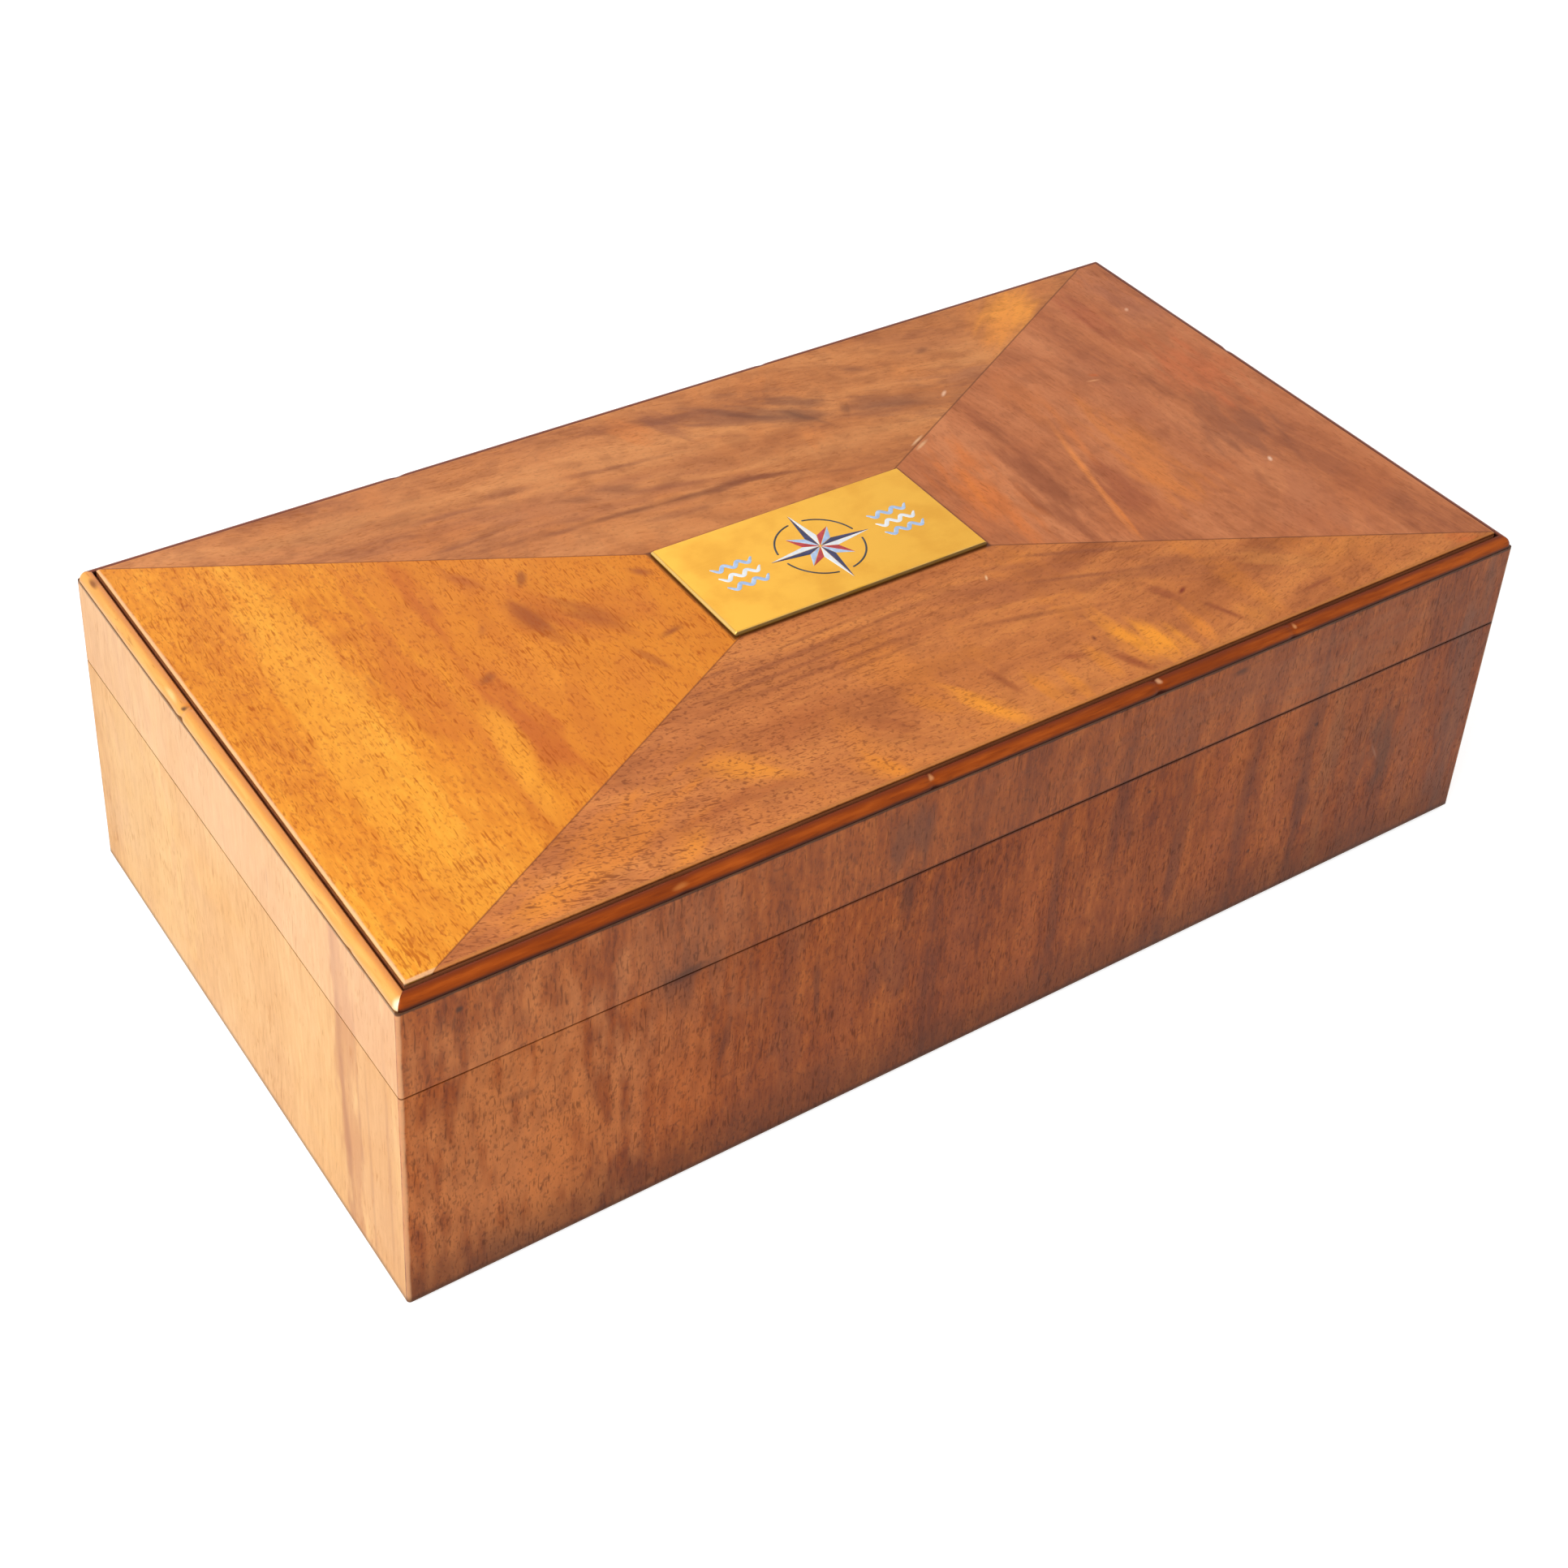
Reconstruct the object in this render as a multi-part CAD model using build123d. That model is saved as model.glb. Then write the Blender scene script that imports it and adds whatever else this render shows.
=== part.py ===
from build123d import *
import math
import os

# A cigarette box in walnut veneer with a hinged lid. Sizes are in millimetres.
# X runs along the box, +Y points to the back with the hinges, +Z is up.
# The origin is the middle of the rest face, on the underside of the baize.

# Carcase
box_length = 254.0
box_depth = 133.4
side_height = 69.6
seam_height = 50.4
seam_gap = 0.3
veneer = 0.8
core = 8.0
arris = 0.7
bottom_arris = 0.35
baize = 0.8
baize_inset = 2.0
bottom_thickness = 5.0
bottom_rebate = 4.0

# Cedar lining and dividers
lining = 2.5
lip_height = 5.0
lip_clearance = 0.4
lip_nose = 0.8
divider = 3.2
divider_housing = 1.2
divider_drop = 6.0
compartments = 3
lid_lining_thickness = 1.5

# Lid
bead_width = 3.0
bead_height = 2.2
bead_foot = 0.1
bead_inner = 2.5
quirk_floor = 1.2
bead_corner = 1.5
panel_rise = 3.0
panel_arris = 0.35
board = 5.0
joint_drift = 5.0

# Brass plaque on the middle of the lid
plaque_length = 60.2
plaque_depth = 30.9
plaque_thickness = 1.0
plaque_bevel = 0.6
plaque_corner = 0.7

# Stopped butt hinges
hinge_length = 25.4
hinge_spread = 160.0
hinge_inside = 7.6
pin_behind = 0.6
leaf = 1.2
knuckle_radius = 1.5
knuckles = 5
knuckle_gap = 0.12
swing_clearance = 0.15
cove_clearance = 0.2
pin_radius = 0.75
pin_play = 0.05
heel_reach = 3.4
stop_angle = 95.4
screws_per_leaf = 2
screw_radius = 1.0
screw_head = 1.9
screw_length = 9.0
screw_pitch = 14.0
screw_play = 0.05

# Heights above the rest face
carcase_z = baize
seam_z = carcase_z + seam_height
rim_z = seam_z - seam_gap / 2
lid_rim_z = seam_z + seam_gap / 2
foot_z = carcase_z + side_height
panel_z = foot_z + panel_rise
board_top_z = panel_z - veneer
board_z = board_top_z - board
bottom_top_z = carcase_z + bottom_thickness
floor_z = bottom_top_z + lining
lip_z = rim_z + lip_height
divider_z = lip_z - divider_drop

# Distances in from the outside faces
wall_inner = veneer + core
lining_inner = wall_inner + lining

# The pin of the hinges
pin_y = box_depth / 2 + pin_behind
sides = ("front", "back", "left", "right")
run = {"front": box_length, "back": box_length, "left": box_depth, "right": box_depth}
seat = {
    "front": Pos(0, -box_depth / 2, 0),
    "back": Pos(0, box_depth / 2, 0) * Rot(0, 0, 180),
    "left": Pos(-box_length / 2, 0, 0) * Rot(0, 0, -90),
    "right": Pos(box_length / 2, 0, 0) * Rot(0, 0, 90),
}


def outline(*points):
    """A closed flat shape with straight sides."""
    return make_face(Polyline(*points, close=True))


def slab(length, depth, low, high, corner=0.0):
    """A level board centred on the box, from one height to another."""
    shape = RectangleRounded(length, depth, corner) if corner else Rectangle(length, depth)
    return Pos(0, 0, low) * extrude(shape, amount=high - low)


def bar(side, section, start=0.0):
    """A section drawn in distance inwards and height, run along one side of the box."""
    length = run[side] - 2 * start
    return extrude(Plane.YZ * section, amount=length / 2, both=True)


def mitred(side, section):
    """A bar whose two ends are cut at 45 degrees, set on its side of the box."""
    half = run[side] / 2
    reach = lining_inner + veneer
    plan = outline((-half, 0), (half, 0), (half - reach, reach), (reach - half, reach))
    return seat[side] * (bar(side, section) & extrude(plan, amount=panel_z + bead_height))


def hinge_places():
    """The middles of the two hinges' pins."""
    return {
        "left": Pos(-hinge_spread / 2, pin_y, seam_z),
        "right": Pos(hinge_spread / 2, pin_y, seam_z),
    }


def screw_spots():
    """The places of one leaf's screws beside its pin, along and across."""
    inwards = -pin_behind - hinge_inside / 2
    first = -screw_pitch * (screws_per_leaf - 1) / 2
    return [(first + step * screw_pitch, inwards) for step in range(screws_per_leaf)]


def hinge_recess(up):
    """What the back of the box loses for one hinge: the leaf's bed, the knuckles' cove and pilot holes."""
    bed = extrude(
        Plane.YZ
        * outline(
            (-pin_behind - hinge_inside, 0),
            (pin_behind, 0),
            (pin_behind, up * (seam_gap / 2 + leaf)),
            (-pin_behind - hinge_inside, up * (seam_gap / 2 + leaf)),
        ),
        amount=hinge_length / 2,
        both=True,
    )
    cove = Rot(0, 90, 0) * Cylinder(knuckle_radius + cove_clearance, hinge_length + 2 * seam_gap)
    recess = bed + cove
    depth = seam_gap / 2 + screw_length + screw_play
    for along, across in screw_spots():
        hole = Cylinder(screw_radius + screw_play, depth, align=(Align.CENTER, Align.CENTER, Align.MIN))
        recess += Pos(along, across, 0) * (hole if up > 0 else Rot(180, 0, 0) * hole)
    return recess


def cut_for_hinges(wood, up):
    """A piece of the back with both hinges' beds, coves and pilot holes cut out of it."""
    for place in hinge_places().values():
        wood -= place * hinge_recess(up)
    return wood


# Walls and rails


def body_walls():
    """Four mitred core boards, with a rebate under them for the bottom board."""
    section = outline(
        (veneer, carcase_z),
        (veneer, rim_z),
        (wall_inner, rim_z),
        (wall_inner, bottom_top_z),
        (wall_inner - bottom_rebate, bottom_top_z),
        (wall_inner - bottom_rebate, carcase_z),
    )
    walls = {f"body_{side}_wall": mitred(side, section) for side in sides}
    walls["body_back_wall"] = cut_for_hinges(walls["body_back_wall"], -1)
    return walls


def lid_rails():
    """Four mitred core boards, with a rebate on top of them for the lid board."""
    section = outline(
        (veneer, lid_rim_z),
        (veneer, foot_z),
        (bead_width, foot_z),
        (bead_width, board_z),
        (wall_inner, board_z),
        (wall_inner, lid_rim_z),
    )
    rails = {f"lid_{side}_rail": mitred(side, section) for side in sides}
    rails["lid_back_rail"] = cut_for_hinges(rails["lid_back_rail"], 1)
    return rails


# Veneer on the sides


def rounded_carcase():
    """The whole box's outside, with its upright and bottom arrises eased by hand."""
    block = slab(box_length, box_depth, carcase_z, foot_z)
    block = fillet(block.edges().filter_by(Axis.Z), arris)
    return chamfer(block.edges().group_by(Axis.Z)[0], bottom_arris)


def side_veneers(part, low, high, up):
    """Leaves of veneer round one part. The long leaves lap over the ends of the short ones."""
    section = outline((0, low), (0, high), (veneer, high), (veneer, low))
    block = rounded_carcase()
    leaves = {}
    for side in sides:
        lap = 0.0 if side in ("front", "back") else veneer
        leaves[f"{part}_{side}_veneer"] = seat[side] * bar(side, section, lap) & block
    back = f"{part}_back_veneer"
    leaves[back] = cut_for_hinges(leaves[back], up)
    return leaves


# Bottom, baize, lining and dividers


def bottom_board():
    """The board let into the rebate under the four walls."""
    inset = 2 * (wall_inner - bottom_rebate)
    return slab(box_length - inset, box_depth - inset, carcase_z, bottom_top_z)


def base_baize():
    """The cloth glued under the box, a little smaller than the box."""
    inset = 2 * baize_inset
    return slab(box_length - inset, box_depth - inset, 0, carcase_z, baize_inset)


def floor_lining():
    """The cedar sheet on the bottom board, under the upright linings."""
    return slab(box_length - 2 * wall_inner, box_depth - 2 * wall_inner, bottom_top_z, floor_z)


def divider_spots():
    """The places of the dividers along the box, which make equal compartments."""
    clear = box_length - 2 * lining_inner - (compartments - 1) * divider
    pitch = clear / compartments + divider
    first = -pitch * (compartments - 2) / 2
    return [first + step * pitch for step in range(compartments - 1)]


def divider_at(x):
    """An upright cedar board with a rounded top edge, its two ends housed in the linings."""
    depth = box_depth - 2 * lining_inner + 2 * divider_housing
    upright = Pos(x, 0, floor_z) * Box(
        divider, depth, divider_z - floor_z, align=(Align.CENTER, Align.CENTER, Align.MIN)
    )
    top = upright.edges().filter_by(Axis.Y).group_by(Axis.Z)[-1]
    return fillet(top, divider / 3)


def upright_linings():
    """Four mitred cedar boards that stand above the rim, set back there so that the lid slips over."""
    face = wall_inner + lip_clearance
    nose = lip_nose
    edge = (
        Polyline((face, lip_z - nose), (face, rim_z), (wall_inner, rim_z), (wall_inner, floor_z))
        + Polyline((wall_inner, floor_z), (lining_inner, floor_z), (lining_inner, lip_z - nose))
        + RadiusArc((lining_inner, lip_z - nose), (lining_inner - nose, lip_z), -nose)
        + Line((lining_inner - nose, lip_z), (face + nose, lip_z))
        + RadiusArc((face + nose, lip_z), (face, lip_z - nose), -nose)
    )
    section = make_face(edge)
    linings = {f"{side}_lining": mitred(side, section) for side in sides}
    for side in ("front", "back"):
        for x in divider_spots():
            linings[f"{side}_lining"] -= divider_at(x)
    return linings


# Top of the lid


def lid_board():
    """The core board of the raised panel, let into the rebate of the rails."""
    inset = 2 * bead_width
    return slab(box_length - inset, box_depth - inset, board_z, board_top_z)


def top_veneers():
    """Four leaves quartered to the middle of the panel, with one joint a little off the corners."""
    half_x = box_length / 2 - bead_width
    half_y = box_depth / 2 - bead_width
    panel = slab(2 * half_x, 2 * half_y, board_top_z, panel_z)
    panel = chamfer(panel.edges().group_by(Axis.Z)[-1], panel_arris)
    middle = (0, 0)
    front_left = (-half_x, -half_y)
    front_right = (half_x, -half_y)
    back_left = (-half_x, half_y)
    back_right = (half_x, half_y)
    front_foot = (joint_drift - half_x, -half_y)
    back_foot = (half_x - joint_drift, half_y)
    plans = {
        "front": outline(front_foot, front_right, middle),
        "right": outline(front_right, back_right, back_foot, middle),
        "back": outline(back_foot, back_left, middle),
        "left": outline(back_left, front_left, front_foot, middle),
    }
    return {f"top_{side}_veneer": panel & extrude(plan, amount=panel_z) for side, plan in plans.items()}


def beads():
    """Four mitred ovolo beads round the panel, each with a quirk between its crown and the panel."""
    crown_z = foot_z + bead_height
    spring_z = foot_z + bead_foot
    radius = bead_height - bead_foot
    shoulder = bead_inner - bead_foot - radius
    edge = (
        Polyline((bead_foot, spring_z), (bead_foot, foot_z), (bead_width, foot_z))
        + Polyline((bead_width, foot_z), (bead_width, foot_z + quirk_floor))
        + Polyline((bead_width, foot_z + quirk_floor), (bead_inner, foot_z + quirk_floor))
        + Line((bead_inner, foot_z + quirk_floor), (bead_inner, crown_z - shoulder))
        + RadiusArc((bead_inner, crown_z - shoulder), (bead_inner - shoulder, crown_z), -shoulder)
        + RadiusArc((bead_foot + radius, crown_z), (bead_foot, spring_z), -radius)
    )
    section = make_face(edge)
    worn = slab(box_length, box_depth, foot_z, crown_z, bead_corner)
    return {f"{side}_bead": mitred(side, section) & worn for side in sides}


def lid_lining():
    """The cedar sheet under the lid board, between the rails."""
    inset = 2 * wall_inner
    return slab(box_length - inset, box_depth - inset, board_z - lid_lining_thickness, board_z)


def plaque():
    """A brass plate with bevelled edges, fixed flat on the middle of the panel."""
    plate = slab(plaque_length, plaque_depth, panel_z, panel_z + plaque_thickness, plaque_corner)
    return chamfer(plate.edges().group_by(Axis.Z)[-1], plaque_bevel)


# Hinges


def knuckle_spans(own):
    """The stretches of the pin that one leaf's knuckles hold. The body has the odd ones."""
    width = hinge_length / knuckles
    first = 0 if own == "body" else 1
    return [(step * width - hinge_length / 2, width) for step in range(first, knuckles, 2)]


def along_pin(radius, start, width):
    """A cylinder on the pin's axis."""
    return Pos(start + width / 2, 0, 0) * Rot(0, 90, 0) * Cylinder(radius, width)


def hinge_leaf(own):
    """A leaf with its knuckles and a bevelled heel behind the pin. The heels meet and stop the lid."""
    gap = seam_gap / 2
    heel_angle = math.radians(stop_angle / 2)
    heel_y = heel_reach * math.cos(heel_angle)
    heel_z = -heel_reach * math.sin(heel_angle)
    section = outline(
        (-pin_behind - hinge_inside, -gap),
        (-pin_behind - hinge_inside, -gap - leaf),
        (-pin_behind, -gap - leaf),
        (-pin_behind, heel_z),
        (heel_y, heel_z),
        (0, 0),
        (-gap, -gap),
    )
    plate = extrude(Plane.YZ * section, amount=hinge_length / 2, both=True)
    other = "lid" if own == "body" else "body"
    shave = knuckle_gap if own == "lid" else 0.0
    for start, width in knuckle_spans(other):
        plate -= along_pin(knuckle_radius + swing_clearance, start - shave, width + 2 * shave)
    for start, width in knuckle_spans(own):
        plate += along_pin(knuckle_radius, start + shave, width - 2 * shave)
    plate -= along_pin(pin_radius + pin_play, -hinge_length / 2, hinge_length)
    for along, across in screw_spots():
        plate -= Pos(along, across, -gap) * countersunk_hole()
    return plate if own == "body" else mirror(plate, about=Plane.XY)


def countersunk_hole():
    """The hole of one screw in a leaf, with its mouth at the top."""
    below = (Align.CENTER, Align.CENTER, Align.MAX)
    return Cone(screw_radius + screw_play, screw_head + screw_play, leaf, align=below)


def wood_screw():
    """A countersunk screw, pointing down, with the face of its head at the origin."""
    below = (Align.CENTER, Align.CENTER, Align.MAX)
    head = Cone(screw_radius, screw_head, leaf, align=below)
    return head + Cylinder(screw_radius, screw_length, align=below)


def screws(up):
    """All the screws of two leaves, as separate solids."""
    placed = []
    for place in hinge_places().values():
        for along, across in screw_spots():
            driven = wood_screw() if up < 0 else Rot(180, 0, 0) * wood_screw()
            placed.append(place * Pos(along, across, up * seam_gap / 2) * driven)
    return Compound(children=placed)


def hinge_pin():
    """A plain brass pin, flush with the ends of the knuckles."""
    return Rot(0, 90, 0) * Cylinder(pin_radius, hinge_length)


def hinges():
    """The leaves and pins of both hinges, and the screws that hold them."""
    pieces = {"body_hinge_screws": screws(-1), "lid_hinge_screws": screws(1)}
    for name, place in hinge_places().items():
        pieces[f"{name}_hinge_body_leaf"] = place * hinge_leaf("body")
        pieces[f"{name}_hinge_lid_leaf"] = place * hinge_leaf("lid")
        pieces[f"{name}_hinge_pin"] = place * hinge_pin()
    return pieces


# The whole box

left_x, right_x = divider_spots()
nodes = {
    **body_walls(),
    **side_veneers("body", carcase_z, rim_z, -1),
    "bottom_board": bottom_board(),
    "base_baize": base_baize(),
    "floor_lining": floor_lining(),
    **upright_linings(),
    "left_divider": divider_at(left_x),
    "right_divider": divider_at(right_x),
    **lid_rails(),
    **side_veneers("lid", lid_rim_z, foot_z, 1),
    "lid_board": lid_board(),
    **top_veneers(),
    **beads(),
    "lid_lining": lid_lining(),
    "plaque": plaque(),
    **hinges(),
}

os.makedirs("parts", exist_ok=True)
for name, solid in nodes.items():
    export_step(solid, f"parts/{name}.step")
print(len(nodes), "nodes")
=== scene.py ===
import math

import bmesh
import bpy
import numpy as np
from mathutils import Matrix, Vector


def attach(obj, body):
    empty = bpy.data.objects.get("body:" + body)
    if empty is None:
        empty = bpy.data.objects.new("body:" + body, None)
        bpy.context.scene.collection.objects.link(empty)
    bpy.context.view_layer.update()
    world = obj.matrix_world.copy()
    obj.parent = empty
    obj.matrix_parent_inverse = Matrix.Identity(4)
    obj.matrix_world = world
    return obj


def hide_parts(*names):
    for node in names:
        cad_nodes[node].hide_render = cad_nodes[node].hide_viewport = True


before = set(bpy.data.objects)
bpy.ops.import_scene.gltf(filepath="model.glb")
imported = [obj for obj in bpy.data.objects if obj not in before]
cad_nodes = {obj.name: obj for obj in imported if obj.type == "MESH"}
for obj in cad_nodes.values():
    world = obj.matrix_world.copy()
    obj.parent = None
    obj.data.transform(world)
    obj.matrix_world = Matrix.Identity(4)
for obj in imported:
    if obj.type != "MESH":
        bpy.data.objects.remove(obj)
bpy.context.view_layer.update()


# Carcase, bottom and lid frame.
# Mitred boards of plain mahogany, glued up as one closed box under the veneer and then sawn
# apart at the seam. They show only on the rim when the lid is open and on the underside.


def tint(*levels):
    """A colour from its display levels, 0 to 255, as linear light."""
    share = np.array(levels) / 255
    light = np.where(share < 0.04045, share / 12.92, ((share + 0.055) / 1.055) ** 2.4)
    return (*light.tolist(), 1.0)


def fill(tree, made, sockets):
    """Gives a shader node's sockets their values or their links."""
    for word, value in dict(sockets).items():
        if isinstance(value, bpy.types.NodeSocket):
            tree.links.new(value, made.inputs[word])
        else:
            made.inputs[word].default_value = value
    return made.outputs


def node(tree, kind, sockets=(), out=0, **settings):
    """One shader node: its settings, what fills its sockets, and the output that is wanted."""
    made = tree.nodes.new("ShaderNode" + kind)
    for word, value in settings.items():
        setattr(made, word, value)
    return fill(tree, made, sockets)[out]


def work(tree, operation, *values):
    """One step of arithmetic on numbers."""
    return node(tree, "Math", enumerate(values), operation=operation)


def times(tree, value, by):
    """Two numbers multiplied."""
    return work(tree, "MULTIPLY", value, by)


def scaled(tree, value, by, plus):
    """A number multiplied, and another added."""
    return work(tree, "MULTIPLY_ADD", value, by, plus)


def move(tree, operation, *values):
    """One step of arithmetic on places."""
    return node(tree, "VectorMath", enumerate(values), operation=operation)


def part(tree, place, axis):
    """One of a place's three distances."""
    return node(tree, "SeparateXYZ", {0: place}, axis)


def cloud(tree, place, scale, detail=2.0, out=0):
    """Soft noise with so many blots to a metre. Output 1 is three of them at once."""
    return node(tree, "TexNoise", {"Vector": place, "Scale": scale, "Detail": detail}, out)


def between(tree, value, low, high):
    """0 at low and 1 at high, with a soft start and end."""
    ends = {"Value": value, "From Min": low, "From Max": high}
    return node(tree, "MapRange", ends, interpolation_type="SMOOTHSTEP")


def over(tree, mask, share, below, above):
    """One colour laid over another by a mask and a share of it."""
    return node(tree, "Mix", {0: times(tree, mask, share), 6: below, 7: above}, 2, data_type="RGBA")


def shades(tree, value, *stops):
    """A colour read from a row of stops, each a share and the colour there."""
    made = tree.nodes.new("ShaderNodeValToRGB")
    tree.links.new(value, made.inputs[0])
    row = made.color_ramp.elements
    while len(row) < len(stops):
        row.new(0.5)
    for element, (share, colour) in zip(row, stops):
        element.position = share
        element.color = colour
    return made.outputs[0]


def bump(tree, strength, depth, height):
    """Normals tilted by a height that is so deep, in metres."""
    return node(tree, "Bump", {"Strength": strength, "Distance": depth, "Height": height})


def effect(name, takes, gives):
    """An empty node group for a place and more named inputs, each with its first value, and named outputs."""
    tree = bpy.data.node_groups.new(name, "ShaderNodeTree")
    for word, value in {"Place": (0.0, 0.0, 0.0), **takes}.items():
        kind = "NodeSocketVector" if isinstance(value, tuple) else "NodeSocketFloat"
        tree.interface.new_socket(word, in_out="INPUT", socket_type=kind).default_value = value
    for word in gives:
        tree.interface.new_socket(word, in_out="OUTPUT", socket_type="NodeSocketFloat")
    return tree, tree.nodes.new("NodeGroupInput").outputs, tree.nodes.new("NodeGroupOutput")


def use(tree, group, **sockets):
    """Puts a node group in a material and gives its outputs."""
    made = tree.nodes.new("ShaderNodeGroup")
    made.node_tree = group
    return fill(tree, made, sockets)


def finish(name):
    """A new material with its tree, its shader and the place on the object, in metres."""
    material = bpy.data.materials.new(name)
    material.use_nodes = True
    tree = material.node_tree
    return material, tree, tree.nodes["Principled BSDF"], node(tree, "TexCoord", out=3)


def dress(material, *names):
    """Gives CAD nodes their finish."""
    for name in names:
        mesh = cad_nodes[name].data
        mesh.materials.clear()
        mesh.materials.append(material)


def turned(tree, place, turn, start=(0, 0, 0)):
    """A place turned by degrees about each axis and then moved."""
    return node(tree, "Mapping", {0: place, 1: start, 2: [math.radians(t) for t in turn]})


# Wood with its grain along X: bands, fibres and pores are noise drawn out along the grain, each
# finer than the last, and the flame is noise drawn out across it. Only the pores' highest peaks
# count, and a slow cloud makes them dense in one place and thin in another.
grain, takes, gives = effect(
    "wood_grain",
    {"Wander": 0.004, "Arch": 0.0, "Bands": 90.0, "Stroke": 240.0, "Openness": 0.0, "Fine": 0.4},
    ("Light", "Flame", "Mottle", "Specks", "Pores", "Height", "Dull"),
)
slow = move(grain, "SUBTRACT", cloud(grain, takes["Place"], 17, 3, 1), (0.5, 0.5, 0.5))
aside = node(grain, "CombineXYZ", {"Y": takes["Wander"], "Z": takes["Wander"]})
along = part(grain, takes["Place"], 0)
rise = times(grain, times(grain, along, along), takes["Arch"])
drift = move(grain, "MULTIPLY_ADD", slow, aside, takes["Place"])
drift = move(grain, "ADD", drift, node(grain, "CombineXYZ", {"Y": rise}))


def drawn(share, across, by="Stroke", detail=3):
    """Noise drawn out along the grain: a share of an input's blots along it, and so many across."""
    stretch = {"X": times(grain, takes[by], share), "Y": across, "Z": across}
    return cloud(grain, move(grain, "MULTIPLY", drift, node(grain, "CombineXYZ", stretch)), 1, detail)


bands = drawn(0.1, takes["Bands"], "Bands")
fibres = drawn(0.6, 1100)
light = times(grain, bands, work(grain, "SUBTRACT", 1.0, takes["Fine"]))
blots = cloud(grain, move(grain, "MULTIPLY", drift, (170, 240, 240)), 1, 6)
dense = scaled(grain, cloud(grain, takes["Place"], 60, 4), 0.36, -0.18)
dense = work(grain, "ADD", dense, takes["Openness"])
long_pores = between(grain, work(grain, "ADD", drawn(1, 2300, detail=0), dense), 0.66, 0.82)
short_pores = between(grain, work(grain, "ADD", drawn(2.4, 3000, detail=0), dense), 0.63, 0.82)
pores = work(grain, "MAXIMUM", long_pores, times(grain, short_pores, 0.7))
handled = scaled(grain, cloud(grain, takes["Place"], 45, 3), 0.2, -0.1)
fill(grain, gives, {
    "Light": scaled(grain, fibres, takes["Fine"], light),
    "Flame": cloud(grain, move(grain, "MULTIPLY", drift, (90, 26, 26)), 1, 4),
    "Mottle": between(grain, blots, 0.44, 0.66),
    "Specks": between(grain, drawn(2.2, 1300, detail=1), 0.54, 0.76),
    "Pores": pores,
    "Height": scaled(grain, fibres, 0.4, times(grain, pores, -1.0)),
    "Dull": scaled(grain, pores, 0.15, handled),
})


def plain_wood(name, turn, pale, mid, dark, roughness=0.55):
    """Solid wood under no polish: three shades by band and fibre, and darker pores."""
    material, tree, shader, place = finish(name)
    growth = {"Wander": 0.003, "Bands": 110.0, "Stroke": 60.0, "Fine": 0.55}
    cut = use(tree, grain, Place=turned(tree, place, turn), **growth)
    colour = shades(tree, cut["Light"], (0.3, dark), (0.5, mid), (0.7, pale))
    fill(tree, shader, {
        "Base Color": over(tree, cut["Pores"], 0.5, colour, dark),
        "Roughness": work(tree, "ADD", cut["Dull"], roughness),
        "Specular IOR Level": 0.3,
        "Normal": bump(tree, 0.5, 0.00005, cut["Height"]),
    })
    return material


along_x, along_y = (0, 0, 0), (0, 0, -90)
mahogany = (tint(182, 110, 70), tint(160, 92, 56), tint(128, 70, 42))
long_mahogany = plain_wood("mahogany_long", along_x, *mahogany)
short_mahogany = plain_wood("mahogany_short", along_y, *mahogany)
dress(long_mahogany, "body_front_wall", "body_back_wall", "bottom_board")
dress(long_mahogany, "lid_front_rail", "lid_back_rail", "lid_board")
dress(short_mahogany, "body_left_wall", "body_right_wall", "lid_left_rail", "lid_right_rail")


# Cedar lining, dividers and lid sheet.
# Thin straight-grained cedar, left bare because its scent keeps the contents. The uprights are
# mitred, stand proud of the rim to locate the lid, and have housings for the dividers' ends.

cedar = (tint(222, 166, 122), tint(206, 146, 102), tint(176, 116, 76))
long_cedar = plain_wood("cedar_long", along_x, *cedar, roughness=0.6)
short_cedar = plain_wood("cedar_short", along_y, *cedar, roughness=0.6)
dress(long_cedar, "front_lining", "back_lining", "floor_lining", "lid_lining")
dress(short_cedar, "left_lining", "right_lining", "left_divider", "right_divider")


# Walnut veneer of the sides.
# Sawn walnut leaves laid with the grain upright and polished. Each side is one leaf, cut with the
# box at the seam, so the figure runs on from the body to the lid.

# Half the box's length and depth, the block whose edges the sides' edges are, and the heights of
# the seam and of the bead's foot, all in metres.
box_half = (0.127, 0.0667)
side_box = {"middle": (0.0, 0.0, 0.0358), "half": (*box_half, 0.035)}
seam_height = 0.0512
bead_foot = 0.0704

# An oval of figure on a face. Streaks that run the oval's own way feather its outline, and the
# core is the share of it that is whole.
oval = {"Centre": (0.0, 0.0, 0.0), "Turn": 0.0, "Length": 0.01, "Width": 0.01, "Feather": 2.5, "Core": 0.15}
patch, takes, gives = effect("figure_patch", oval, ("Mask",))
lying, hub = (
    node(patch, "VectorRotate", {"Vector": takes[word], "Angle": takes["Turn"]},
         rotation_type="Z_AXIS", invert=True)
    for word in ("Place", "Centre")
)
size = node(patch, "CombineXYZ", {"X": takes["Length"], "Y": takes["Width"], "Z": 1.0})
away = move(patch, "DIVIDE", move(patch, "SUBTRACT", lying, hub), size)
reach = node(patch, "VectorMath", {0: away}, 1, operation="LENGTH")
streaks = work(patch, "SUBTRACT", cloud(patch, move(patch, "MULTIPLY", lying, (70, 300, 1)), 1, 3), 0.5)
reach = scaled(patch, streaks, takes["Feather"], reach)
fill(patch, gives, {"Mask": between(patch, reach, 1.0, takes["Core"])})


def uneven_width(tree, takes, blots, detail):
    """A group's width, from half of it to one and a half times it, by a cloud."""
    share = work(tree, "ADD", cloud(tree, takes["Place"], blots, detail), 0.5)
    return times(tree, takes["Width"], share)


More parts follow.
